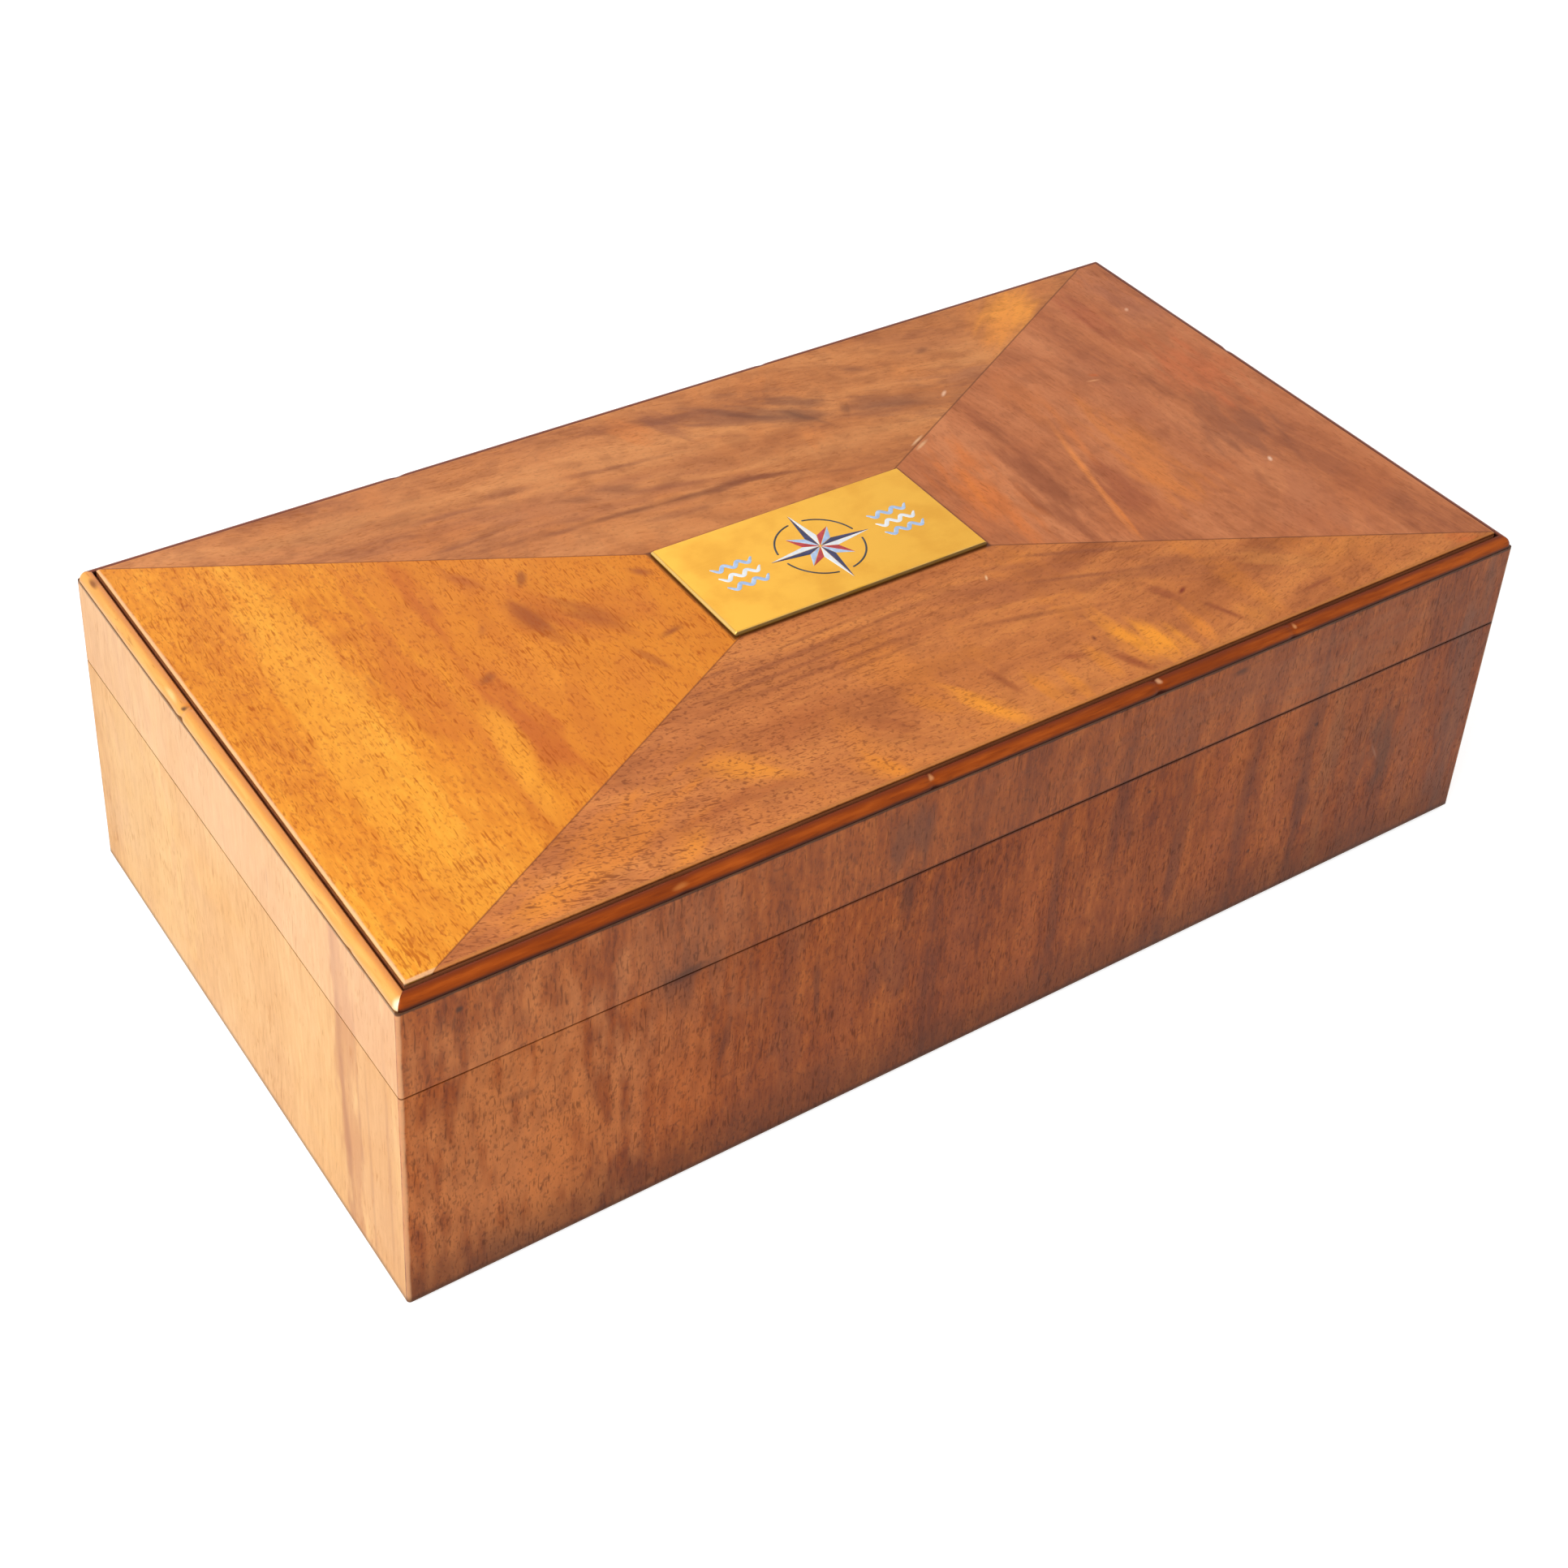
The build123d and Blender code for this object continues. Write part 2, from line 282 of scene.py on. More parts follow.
# The nearness to a straight line on a face, for glue lines, the seam, and the painted shade at the bead's
# foot.
straight_line = {"Point": (0.0, 0.0, 0.0), "Across": (0.0, 1.0, 0.0), "Width": 0.0003}
line, takes, gives = effect("dark_line", straight_line, ("Mask",))
gap = move(line, "SUBTRACT", takes["Place"], takes["Point"])
far = node(line, "VectorMath", {0: gap, 1: takes["Across"]}, 1, operation="DOT_PRODUCT")
far = work(line, "DIVIDE", work(line, "ABSOLUTE", far), uneven_width(line, takes, 260, 3))
fill(line, gives, {"Mask": between(line, far, 1.0, 0.3)})

# The nearness to an edge of a box, where handling rubs the polish thin and a painted highlight stands
# for the light the edge catches: on a face one of the three depths inside the box is nothing, and the
# next smallest is how far the edge is.
whole_box = {"Middle": (0.0, 0.0, 0.0), "Half": (1.0, 1.0, 1.0), "Width": 0.001}
rub_and_highlight, takes, gives = effect("rubbed_and_highlit_arris", whole_box, ("Mask",))
from_middle = move(rub_and_highlight, "ABSOLUTE", move(rub_and_highlight, "SUBTRACT", takes["Place"], takes["Middle"]))
inside = move(rub_and_highlight, "SUBTRACT", takes["Half"], from_middle)
a, b, c = (part(rub_and_highlight, inside, axis) for axis in range(3))
edge = work(rub_and_highlight, "MINIMUM", work(rub_and_highlight, "MAXIMUM", a, b), c)
edge = work(rub_and_highlight, "MAXIMUM", work(rub_and_highlight, "MINIMUM", a, b), edge)
edge = work(rub_and_highlight, "DIVIDE", edge, uneven_width(rub_and_highlight, takes, 180, 4))
fill(rub_and_highlight, gives, {"Mask": between(rub_and_highlight, edge, 1.3, 0.5)})

# How far a place lies outside a rectangle seen from above; inside it the distance is negative.
outside, takes, gives = effect("outside_of", {"Half": (0.1, 0.1, 0.0)}, ("Off",))
past = move(outside, "SUBTRACT", move(outside, "ABSOLUTE", takes["Place"]), takes["Half"])
fill(outside, gives, {"Off": work(outside, "MAXIMUM", part(outside, past, 0), part(outside, past, 1))})

# An uneven paler tone on the lid above the seam, a painted sheen.
lid_sheen, takes, gives = effect("painted_lid_sheen", {"Seam": seam_height}, ("Mask",))
above = between(lid_sheen, work(lid_sheen, "SUBTRACT", part(lid_sheen, takes["Place"], 2), takes["Seam"]), 0.0, 0.0001)
uneven = scaled(lid_sheen, cloud(lid_sheen, takes["Place"], 60, 3), 0.8, 0.6)
fill(lid_sheen, gives, {"Mask": times(lid_sheen, above, uneven)})


class Walnut:
    """A polished walnut finish, laid up from its figure through dark lines, painted shade and pale edges to
    its polish.
    """

    def __init__(self, name, flat, turn, start, colours, stops=(0.36, 0.46, 0.54, 0.64), **growth):
        """The figure: colours from dark to pale by band and fibre. flat is the two axes of the face."""
        self.material, self.tree, self.shader, self.place = finish(name)
        self.face = node(self.tree, "CombineXYZ", {"X": self.part(flat[0]), "Y": self.part(flat[1])})
        self.cut = use(self.tree, grain, Place=turned(self.tree, self.place, turn, start), **growth)
        rows = zip(stops, (tint(*colour) for colour in colours))
        self.colour = shades(self.tree, self.cut["Light"], *rows)

    def part(self, axis):
        """One part of the place on the piece."""
        return part(self.tree, self.place, axis)

    def off(self, half):
        """How far outside a rectangle."""
        return use(self.tree, outside, Place=self.place, Half=(*half, 0.0))["Off"]

    def lay(self, mask, share, shade):
        """Lays a shade over what is there, by a mask and a share."""
        self.colour = over(self.tree, mask, share, self.colour, tint(*shade))

    def fade(self, value, low, high, share, shade):
        """Lays a shade from nothing where a value is low to its full share where it is high."""
        self.lay(between(self.tree, value, low, high), share, shade)

    def flame(self, share, shade):
        """Light across the grain."""
        self.fade(self.cut["Flame"], 0.5, 0.7, share, shade)

    def patches(self, *rows, feather=2.5, core=0.15):
        """Patches of figure on the face: each one's middle, turn in degrees, half length and width, share and
        shade, with the distances in millimetres."""
        for x, y, turn, length, width, share, *shade in rows:
            sizes = {"Turn": math.radians(turn), "Length": length / 1000, "Width": width / 1000}
            sizes |= {"Centre": (x / 1000, y / 1000, 0), "Feather": feather, "Core": core}
            self.lay(use(self.tree, patch, Place=self.face, **sizes)["Mask"], share, shade)

    def dark_line(self, point, across, width, share, shade):
        """A dark line through a point, straight across a direction."""
        across = tuple(Vector(across).normalized())
        mask = use(self.tree, line, Place=self.place, Point=point, Across=across, Width=width)["Mask"]
        self.lay(mask, share, shade)

    def pale_edges(self, middle, half, width, share, shade):
        """Edges made pale: polish rubbed thin, and a painted highlight where the light catches them."""
        mask = use(self.tree, rub_and_highlight, Place=self.place, Middle=middle, Half=half, Width=width)["Mask"]
        self.lay(mask, share, shade)

    def polish(self, rough=0.38, shine=0.2):
        """Wax polish over it all, duller in the pores and where hands have been."""
        fill(self.tree, self.shader, {
            "Base Color": self.colour,
            "Roughness": work(self.tree, "ADD", self.cut["Dull"], rough),
            "Specular IOR Level": shine,
            "Normal": bump(self.tree, 0.3, 0.00004, self.cut["Height"]),
        })
        return self.material


def long_side(name, start):
    """The figure of a long side, from its own part of the log."""
    colours = ((130, 58, 22), (160, 77, 28), (173, 87, 33), (194, 104, 43))
    growth = {"Fine": 0.45, "Wander": 0.003, "Bands": 170.0, "Stroke": 420.0, "Openness": 0.02}
    made = Walnut(name, (0, 2), (0, 90, 0), start, colours, **growth)
    made.flame(0.2, (178, 96, 46))
    return made


def side_polish(made, pores, sheen_share, sheen_shade, arris, dark, shine, rough):
    """What the four sides get last: pores, the lid's painted sheen, pale edges, dirt at the seam, painted
    shade with some dirt under the bead, a painted shadow along the table, and the polish."""
    upright = (0, 0, 1)
    made.lay(made.cut["Pores"], 0.5, pores)
    made.lay(use(made.tree, lid_sheen, Place=made.place)["Mask"], sheen_share, sheen_shade)
    made.pale_edges(**side_box, width=0.0007, share=0.7, shade=arris)
    made.dark_line((0, 0, seam_height), upright, 0.0003, 0.5, dark)
    # Painted shade with some dirt under the bead.
    made.dark_line((0, 0, bead_foot), upright, 0.0007, 0.85, dark)
    # A painted shadow along the table: darker towards the bottom edge.
    made.fade(made.part(2), 0.003, 0.001, 0.8, dark)
    return made.polish(rough, shine)


front_side = long_side("walnut_front", (0.31, 0.2, 0.1))
front_side.patches(
    # The first, broad pale patch at the left end is partly figure and partly painted light, where the key
    # lamp falls nearest.
    (-106, 28, 90, 66, 32, 0.6, 226, 140, 78),
    (82, 46, 0, 28, 30, 0.3, 200, 116, 62),
    (-74, 50, 90, 44, 24, 0.3, 214, 134, 84),
    (-95, 22, 90, 20, 12, 0.6, 214, 122, 56),
    (-72, 22, 90, 20, 13, 0.5, 204, 108, 46),
    (-50, 28, 90, 40, 4, 0.4, 126, 66, 42),
    (-38, 26, 90, 34, 4, 0.4, 178, 94, 50),
    (-28, 31, 90, 10, 8, 0.5, 112, 58, 40),
    (-18, 24, 90, 34, 3, 0.4, 112, 58, 40),
    (-11, 26, 90, 36, 5, 0.35, 176, 92, 50),
    (-26, 61, 90, 11, 8, 0.6, 98, 58, 46),
    (-73, 51, 90, 8, 9, 0.6, 98, 54, 40),
    (6, 26, 90, 38, 6, 0.4, 188, 98, 50),
    (12, 34, 90, 36, 2, 0.5, 112, 58, 38),
    (27, 46, 90, 18, 5, 0.5, 108, 56, 38),
    (43, 28, 90, 38, 3.4, 0.5, 110, 58, 40),
    (54, 28, 90, 38, 4, 0.5, 184, 94, 46),
    (61, 26, 90, 36, 3, 0.5, 108, 56, 38),
    (71, 28, 90, 38, 3.4, 0.45, 180, 94, 48),
    (77, 30, 90, 40, 3.4, 0.55, 104, 56, 38),
    (84, 32, 90, 38, 4, 0.4, 158, 102, 64),
    (92, 26, 90, 32, 4, 0.4, 112, 62, 44),
    (100, 27, 90, 20, 5.5, 0.6, 92, 62, 46),
    (108, 30, 90, 36, 4, 0.4, 170, 100, 64),
    (122, 34, 90, 44, 9, 0.5, 122, 86, 70),
    (64, 62, 0, 66, 11, 0.2, 138, 90, 70),
    core=0.1,
)
front_side.patches(
    (-24.5, 47, 86, 8, 3.4, 0.55, 70, 38, 30),
    (-72, 52, 4, 7, 1.8, 0.8, 64, 34, 26),
    (-104.5, 40, -6, 6, 1.4, 0.35, 96, 50, 32),
    (-105, 4, 0, 16, 4, 0.4, 100, 52, 32),
    (52.6, 67.6, 0, 3, 1.2, 0.8, 70, 38, 28),
    (-64, 30, 80, 8, 1, 0.4, 96, 50, 34),
    (-44, 34, 92, 12, 1, 0.5, 96, 50, 34),
    feather=2.0, core=0.0,
)
front_side.patches(
    (-116, 66, 0, 1.1, 1.0, 0.9, 48, 26, 20),
    (-117, 63.5, 80, 3, 0.5, 0.5, 70, 38, 26),
    (33, 45.9, 0, 0.8, 0.7, 0.8, 60, 34, 26),
    (77.7, 44, 0, 0.8, 0.7, 0.8, 60, 34, 26),
    (64.8, 16, 0, 0.7, 0.7, 0.7, 66, 36, 28),
    (97.8, 28.3, 118, 3.6, 0.4, 0.45, 184, 132, 104),
    feather=0.5,
)
# On the front the saw's cut has a painted shadow, a dark line that fades out towards the left corner, where
# the light is strongest.
from_seam = work(front_side.tree, "SUBTRACT", front_side.part(2), seam_height)
near_seam = between(front_side.tree, work(front_side.tree, "ABSOLUTE", from_seam), 0.0006, 0.0003)
past_corner = between(front_side.tree, front_side.part(0), -0.1, 0.0)
front_side.lay(times(front_side.tree, near_seam, past_corner), 0.7, (60, 26, 12))

back_side = long_side("walnut_back", (0.72, 0.45, 0.9))
back_side.patches(
    (-70, 30, 90, 44, 8, 0.5, 112, 58, 34),
    (-38, 26, 90, 40, 12, 0.4, 190, 102, 50),
    (4, 34, 88, 44, 4, 0.5, 108, 56, 36),
    (22, 28, 90, 40, 9, 0.45, 194, 108, 54),
    (58, 30, 90, 44, 5, 0.5, 110, 58, 36),
    (96, 26, 91, 44, 14, 0.4, 184, 100, 54),
    core=0.1,
)
for made, side in ((front_side, "front"), (back_side, "back")):
    made.lay(made.cut["Mottle"], 0.22, (112, 52, 22))
    made.lay(made.cut["Specks"], 0.45, (92, 42, 18))
    # Painted shade: the long sides darker towards the bottom.
    made.fade(made.part(2), 0.018, 0.001, 0.55, (84, 40, 10))
    polished = side_polish(
        made, pores=(72, 32, 18), sheen_share=0.08, sheen_shade=(200, 150, 118),
        arris=(220, 164, 118), dark=(50, 20, 8), shine=0.12, rough=0.38,
    )
    dress(polished, f"body_{side}_veneer", f"lid_{side}_veneer")


def end(name, start, colours, flame):
    """The straight figure of an end."""
    growth = {"Fine": 0.5, "Wander": 0.006, "Bands": 60.0, "Stroke": 220.0, "Openness": -0.04}
    made = Walnut(name, (1, 2), (0, 90, 0), start, colours, (0.34, 0.46, 0.54, 0.66), **growth)
    made.flame(0.2, flame)
    return made


# The left end is the same walnut painted far paler in all its shades than the right end: painted light and
# glare from the key lamp beside it.
key_lit_shades = ((214, 155, 90), (225, 169, 103), (231, 176, 111), (237, 186, 121))
left_end = end("walnut_left_end", (0.12, 0.43, 0.5), key_lit_shades, (238, 174, 88))
left_end.patches(
    (40, 20, 90, 50, 22, 0.35, 242, 192, 116),
    (6, 26, 80, 20, 9, 0.25, 214, 152, 76),
    (-57, 35, 90, 90, 13, 0.4, 206, 142, 84),
    (-46.6, 30, 88.2, 90, 4.6, 0.5, 190, 122, 70),
    core=0.5,
)
left_end.patches(
    (-44.6, 34, 88.0, 60, 1.8, 0.55, 166, 98, 54),
    (-46.2, 12, 88.7, 20, 1.4, 0.4, 160, 92, 50),
    (-61.5, 30, 89.2, 40, 1.0, 0.4, 176, 112, 64),
    (-54.4, 22, 88.4, 40, 0.9, 0.4, 176, 112, 64),
    (-50.6, 36, 89.0, 40, 0.8, 0.4, 176, 110, 62),
    (-17.5, 60, 89.0, 5, 0.5, 0.6, 170, 110, 70),
    feather=1.2, core=0.0,
)
left_end.lay(left_end.cut["Mottle"], 0.2, (208, 148, 86))
polished = side_polish(
    left_end, pores=(180, 116, 66), sheen_share=0.22, sheen_shade=(236, 190, 164),
    arris=(246, 208, 158), dark=(120, 78, 36), shine=0.2, rough=0.42,
)
dress(polished, "body_left_veneer", "lid_left_veneer")

brown_shades = ((168, 98, 50), (184, 112, 58), (192, 119, 63), (204, 131, 72))
right_end = end("walnut_right_end", (0.61, 0.18, 0.2), brown_shades, (206, 126, 62))
right_end.patches(
    (22, 36, 91, 90, 7, 0.4, 150, 84, 46),
    (26.5, 30, 90.6, 60, 1.6, 0.5, 122, 64, 34),
    (-30, 30, 90, 60, 16, 0.35, 206, 134, 76),
    core=0.4,
)
right_end.lay(right_end.cut["Mottle"], 0.2, (150, 86, 46))
polished = side_polish(
    right_end, pores=(110, 58, 30), sheen_share=0.08, sheen_shade=(200, 150, 118),
    arris=(226, 168, 118), dark=(56, 24, 10), shine=0.14, rough=0.4,
)
dress(polished, "body_right_veneer", "lid_right_veneer")


# Baize under the box.
# Green woollen baize, cut a little smaller than the bottom and glued flat to it.


def shell(name, rings, material, body, crisp=35):
    """A closed piece from rings of points, rings by points by three, in metres. Each ring is joined to the
    next and to itself, the doubled points where a ring draws in to a point or a line are merged, and edges
    over so many degrees are left sharp."""
    count, around = rings.shape[:2]
    at = np.arange(count * around).reshape(count, around)
    beside = np.roll(at, -1, axis=1)
    faces = np.stack((at[:-1], beside[:-1], beside[1:], at[1:]), axis=-1).reshape(-1, 4)
    mesh = bpy.data.meshes.new(name)
    mesh.from_pydata(rings.reshape(-1, 3).tolist(), [], faces.tolist())
    made = bmesh.new()
    made.from_mesh(mesh)
    bmesh.ops.remove_doubles(made, verts=made.verts, dist=1e-7)
    bmesh.ops.recalc_face_normals(made, faces=made.faces)
    made.to_mesh(mesh)
    made.free()
    mesh.polygons.foreach_set("use_smooth", np.ones(len(mesh.polygons), bool))
    mesh.set_sharp_from_angle(angle=math.radians(crisp))
    mesh.materials.append(material)
    piece = bpy.data.objects.new(name, mesh)
    bpy.context.scene.collection.objects.link(piece)
    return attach(piece, body)


def rounded_plate(half_x, half_y, corner, steps):
    """Rings of a flat piece with round corners. Each step is how far in from the outline, in metres, and how
    high: four quarter turns about the corners' centres, and straight runs between them."""
    turn = np.linspace(0, 2 * math.pi, 64, endpoint=False) + math.pi / 64
    way = np.stack((np.cos(turn), np.sin(turn)), axis=-1)
    rings = []
    for inset, height in steps:
        radius = max(corner - inset, 0)
        hold = np.maximum(np.array((half_x, half_y)) - inset - radius, 0)
        flat = np.sign(way) * hold + way * radius
        rings.append(np.column_stack((flat, np.full(len(flat), height))))
    return np.array(rings)


flat_baize = (0.250, 0.1294)
thick, round_corner = 0.0008, 0.0012
felt, tree, shader, place = finish("green_baize")
nap = cloud(tree, place, 2600, 4)
tufts = times(tree, cloud(tree, place, 420, 3), 0.4)
worn = between(tree, cloud(tree, place, 30, 3), 0.45, 0.7)
greens = ((0.36, tint(18, 52, 34)), (0.5, tint(30, 76, 48)), (0.64, tint(46, 98, 62)))
colour = shades(tree, scaled(tree, nap, 0.6, tufts), *greens)
fill(tree, shader, {
    "Base Color": over(tree, worn, 0.35, colour, tint(64, 96, 62)),
    "Roughness": scaled(tree, worn, -0.1, 0.98),
    "Specular IOR Level": 0.1,
    "Sheen Weight": 0.35,
    "Sheen Roughness": 0.5,
    "Normal": bump(tree, 0.7, 0.0002, nap),
})
half_x, half_y = flat_baize[0] / 2, flat_baize[1] / 2
steps = ((half_y, 0), (0.0002, 0), (0, 0.0001), (0, 0.00072), (0.0001, thick), (half_y, thick))
baize = shell("baize_sheet", rounded_plate(half_x, half_y, round_corner, steps), felt, "body")
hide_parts("base_baize")


# Quartered walnut top.
# Four leaves mitred to the middle of the lid, the end leaves with their grain across the box and
# the long ones with it along the box, then scraped flat and polished. The edge is left crisp.

# Half the raised panel's length and depth, its height, the block whose edges its edges are, and
# half the length and depth of the plate on it.
panel_half = (0.124, 0.0637)
panel_top = 0.0734
top_box = {"middle": (0.0, 0.0, 0.0356), "half": (*panel_half, 0.0378)}
plate_half = (0.0301, 0.01545)

left_leaf = Walnut(
    "walnut_top_left", (0, 1), (0, 0, -88), (0.05, 0.02, 0.3),
    ((218, 126, 26), (232, 142, 32), (240, 152, 38), (248, 168, 50)),
    Fine=0.45, Wander=0.004, Bands=80.0, Stroke=380.0, Openness=0.01,
)
left_leaf.flame(0.25, (234, 138, 30))
left_leaf.patches(
    (-40, 0, 90, 90, 52, 0.75, 222, 128, 34),
    (-104, -5, 88, 60, 8, 0.35, 254, 176, 52),
    (-104, -54, 90, 12, 18, 0.35, 226, 140, 38),
    feather=0.7, core=0.8,
)
left_leaf.patches(
    (-88, 2, 90, 44, 5, 0.45, 210, 110, 28),
    (-76.5, 26, 88, 22, 4, 0.6, 194, 92, 30),
    (-75, -18, 92, 28, 5, 0.7, 192, 90, 28),
    (-92, -2, 91, 40, 1.4, 0.4, 206, 106, 26),
    (-86, -46, 84, 16, 4, 0.45, 206, 112, 30),
    (-59, 12, -76, 20, 8, 0.45, 186, 86, 32),
    (-47, 3, -50, 14, 8, 0.35, 190, 90, 34),
    (-68, 4, 86, 24, 3.4, 0.35, 206, 110, 34),
    (-66, -24, 80, 18, 5, 0.3, 206, 108, 34),
    (-52, -14, 70, 10, 5, 0.35, 208, 112, 38),
    (-40, 2, 84, 10, 5, 0.35, 208, 110, 40),
    (-60, 24, 70, 14, 6, 0.3, 244, 150, 44),
    (-65, -6, 84, 12, 4, 0.4, 248, 156, 46),
    feather=2.2,
)
left_leaf.patches(
    (-81.5, -22, 80, 16, 3.8, 0.6, 248, 164, 44),
    (-83.5, -34, 86, 12, 3.0, 0.5, 248, 162, 44),
    feather=0.7, core=0.4,
)
left_leaf.patches(
    (-65, 25, -64, 10, 2.8, 0.7, 176, 84, 32),
    (-60, 8.5, -77, 12, 4.0, 0.6, 134, 56, 26),
    (-49.5, 3.6, -58, 12, 4.0, 0.5, 144, 62, 28),
    (-55.6, 21, 60, 3.0, 1.4, 0.6, 130, 58, 26),
    (-39, -7.6, 12, 5, 1.2, 0.75, 140, 62, 28),
    (-34.6, 11.4, -50, 3.4, 2.2, 0.7, 156, 72, 34),
    (-47, -13, -72, 6, 1.6, 0.5, 160, 76, 32),
    (-76, -3, 30, 2.6, 1.6, 0.6, 140, 66, 30),
    (-94.5, 7, 90, 4, 0.8, 0.6, 170, 84, 30),
    (-70, 10, 60, 4, 1.4, 0.5, 170, 84, 34),
    feather=1.5, core=0.0,
)

right_leaf = Walnut(
    "walnut_top_right", (0, 1), (0, 0, -96), (0.4, 0.32, 0.3),
    ((172, 98, 60), (192, 113, 68), (202, 122, 76), (212, 132, 84)),
    Fine=0.25, Wander=0.006, Bands=90.0, Stroke=380.0, Openness=-0.03,
)
right_leaf.flame(0.3, (198, 110, 60))
right_leaf.patches(
    (41, 0, 82, 26, 9, 0.7, 220, 120, 54),
    (53, -6, 84, 28, 7, 0.75, 148, 78, 46),
    (67.5, -12, 84, 18, 6, 0.65, 160, 82, 50),
    (79, -8, 86, 28, 9, 0.75, 218, 128, 62),
    (71, 26, 80, 14, 6, 0.4, 206, 118, 62),
    (91, 16, 86, 40, 6, 0.5, 166, 92, 58),
    (104, -7, 80, 18, 13, 0.6, 142, 82, 56),
    (113, 16, 84, 20, 12, 0.6, 208, 108, 60),
    (106, 44, 88, 18, 6, 0.45, 176, 88, 54),
    (118, 48, 84, 18, 8, 0.4, 164, 98, 76),
    (98, -38, 60, 20, 14, 0.35, 168, 96, 66),
    (118, -20, 88, 22, 6, 0.35, 190, 108, 66),
    core=0.1,
)
right_leaf.patches(
    (64, -6, 75, 28, 1.3, 0.8, 242, 146, 74),
    (61, -20, 76, 14, 0.7, 0.6, 230, 132, 60),
    (71, 8, 77, 22, 1.6, 0.45, 226, 128, 62),
    (40, 2, 76, 14, 1.4, 0.5, 232, 130, 54),
    (56.5, 22, 84, 12, 1.4, 0.5, 150, 76, 44),
    (75.5, -12, 97, 18, 1.2, 0.4, 230, 134, 64),
    (104, 40, 86, 24, 1.0, 0.4, 164, 80, 48),
    (88, -20, 90, 14, 1.2, 0.35, 224, 130, 66),
    feather=1.0, core=0.0,
)
right_leaf.patches(
    (89, 22.6, -12, 2.2, 0.5, 0.8, 240, 164, 110),
    (90.5, 24.4, -30, 1.8, 0.9, 0.7, 216, 108, 50),
    (102, -20.3, 60, 1.3, 0.7, 1.0, 246, 196, 164),
    (116, 43, 50, 1.2, 0.7, 0.8, 236, 176, 140),
    (40.5, 20.6, 27, 3.4, 0.6, 0.7, 236, 184, 136),
    feather=0.5,
)

back_leaf = Walnut(
    "walnut_top_back", (0, 1), (0, 0, 8), (0.7, 0.12, 0.6),
    ((166, 96, 54), (196, 120, 66), (208, 131, 74), (220, 144, 84)),
    Fine=0.2, Wander=0.014, Bands=100.0, Stroke=460.0, Openness=-0.01,
)
back_leaf.flame(0.35, (214, 128, 64))
back_leaf.patches(
    (-80, 53, -6, 26, 6, 0.4, 186, 122, 70),
    (-66, 41, -8, 18, 6, 0.35, 220, 130, 62),
    (-30, 37, -10, 42, 9, 0.4, 170, 100, 66),
    (8, 51, -24, 16, 8, 0.65, 142, 84, 58),
    (24, 45, -30, 16, 8, 0.7, 136, 84, 58),
    (48, 35, -20, 18, 7, 0.6, 148, 90, 62),
    (66, 39, -16, 14, 6, 0.5, 154, 92, 68),
    (66, 54, -14, 16, 8, 0.35, 184, 112, 70),
    (22, 59, 60, 8, 5, 0.5, 222, 134, 70),
    (-11, 55, -62, 9, 4, 0.5, 224, 132, 66),
    (-3, 54, -70, 11, 3.4, 0.5, 148, 86, 60),
    (-44, 57, -14, 20, 5, 0.35, 208, 128, 70),
    (22, 34, 74, 6, 4, 0.6, 226, 138, 72),
    (54.5, 46.5, 60, 4, 3, 0.5, 228, 142, 76),
    (6, 20, -8, 24, 5, 0.35, 208, 122, 64),
    (2, 36, -12, 52, 12, 0.25, 166, 94, 52),
    core=0.1,
)
back_leaf.patches(
    (91, 56, 40, 17, 10, 1.0, 248, 158, 66),
    (84, 49, 42, 12, 4.5, 0.7, 242, 150, 66),
    (104, 60, 20, 9, 4, 0.4, 220, 134, 76),
    feather=1.3, core=0.1,
)
back_leaf.patches(
    (-57, 46.5, -4, 14, 1.2, 0.55, 150, 86, 54),
    (-44, 47.6, -10, 9, 2.0, 0.45, 138, 74, 46),
    (-18, 44.6, -8, 16, 1.3, 0.6, 142, 78, 50),
    (-57, 36.4, 2, 13, 1.1, 0.6, 150, 84, 52),
    (-32.4, 38.6, -26, 6, 1.8, 0.5, 116, 64, 42),
    (-24, 37.6, -22, 7, 2.2, 0.45, 124, 70, 46),
    (-16, 28.8, -5, 22, 1.5, 0.8, 122, 64, 38),
    (8, 26.2, -12, 16, 1.4, 0.7, 132, 70, 42),
    (-14, 24, -4, 20, 1.6, 0.45, 144, 80, 50),
    (-41.5, 30.6, -4, 5, 1.3, 0.6, 136, 74, 46),
    (-38, 33, -16, 14, 1.4, 0.5, 148, 82, 52),
    (34.4, 39.6, 60, 4, 2.0, 0.5, 118, 68, 44),
    (13, 49, -36, 10, 2.6, 0.6, 112, 66, 48),
    (24.6, 42, -60, 8, 2.6, 0.65, 106, 64, 46),
    (44.6, 52.6, -30, 5, 2.4, 0.5, 132, 78, 52),
    (46, 36, -22, 10, 2.0, 0.5, 124, 74, 52),
    (63, 51.4, 20, 3, 1.4, 0.5, 128, 74, 50),
    (-16, 34, -14, 16, 1.4, 0.5, 150, 84, 54),
    feather=2.0, core=0.0,
)
back_leaf.patches(
    (56.8, 34.6, 40, 1.8, 0.6, 0.9, 238, 186, 150),
    (40.5, 22.4, 27, 3.4, 0.5, 0.8, 238, 190, 146),
    feather=0.6,
)

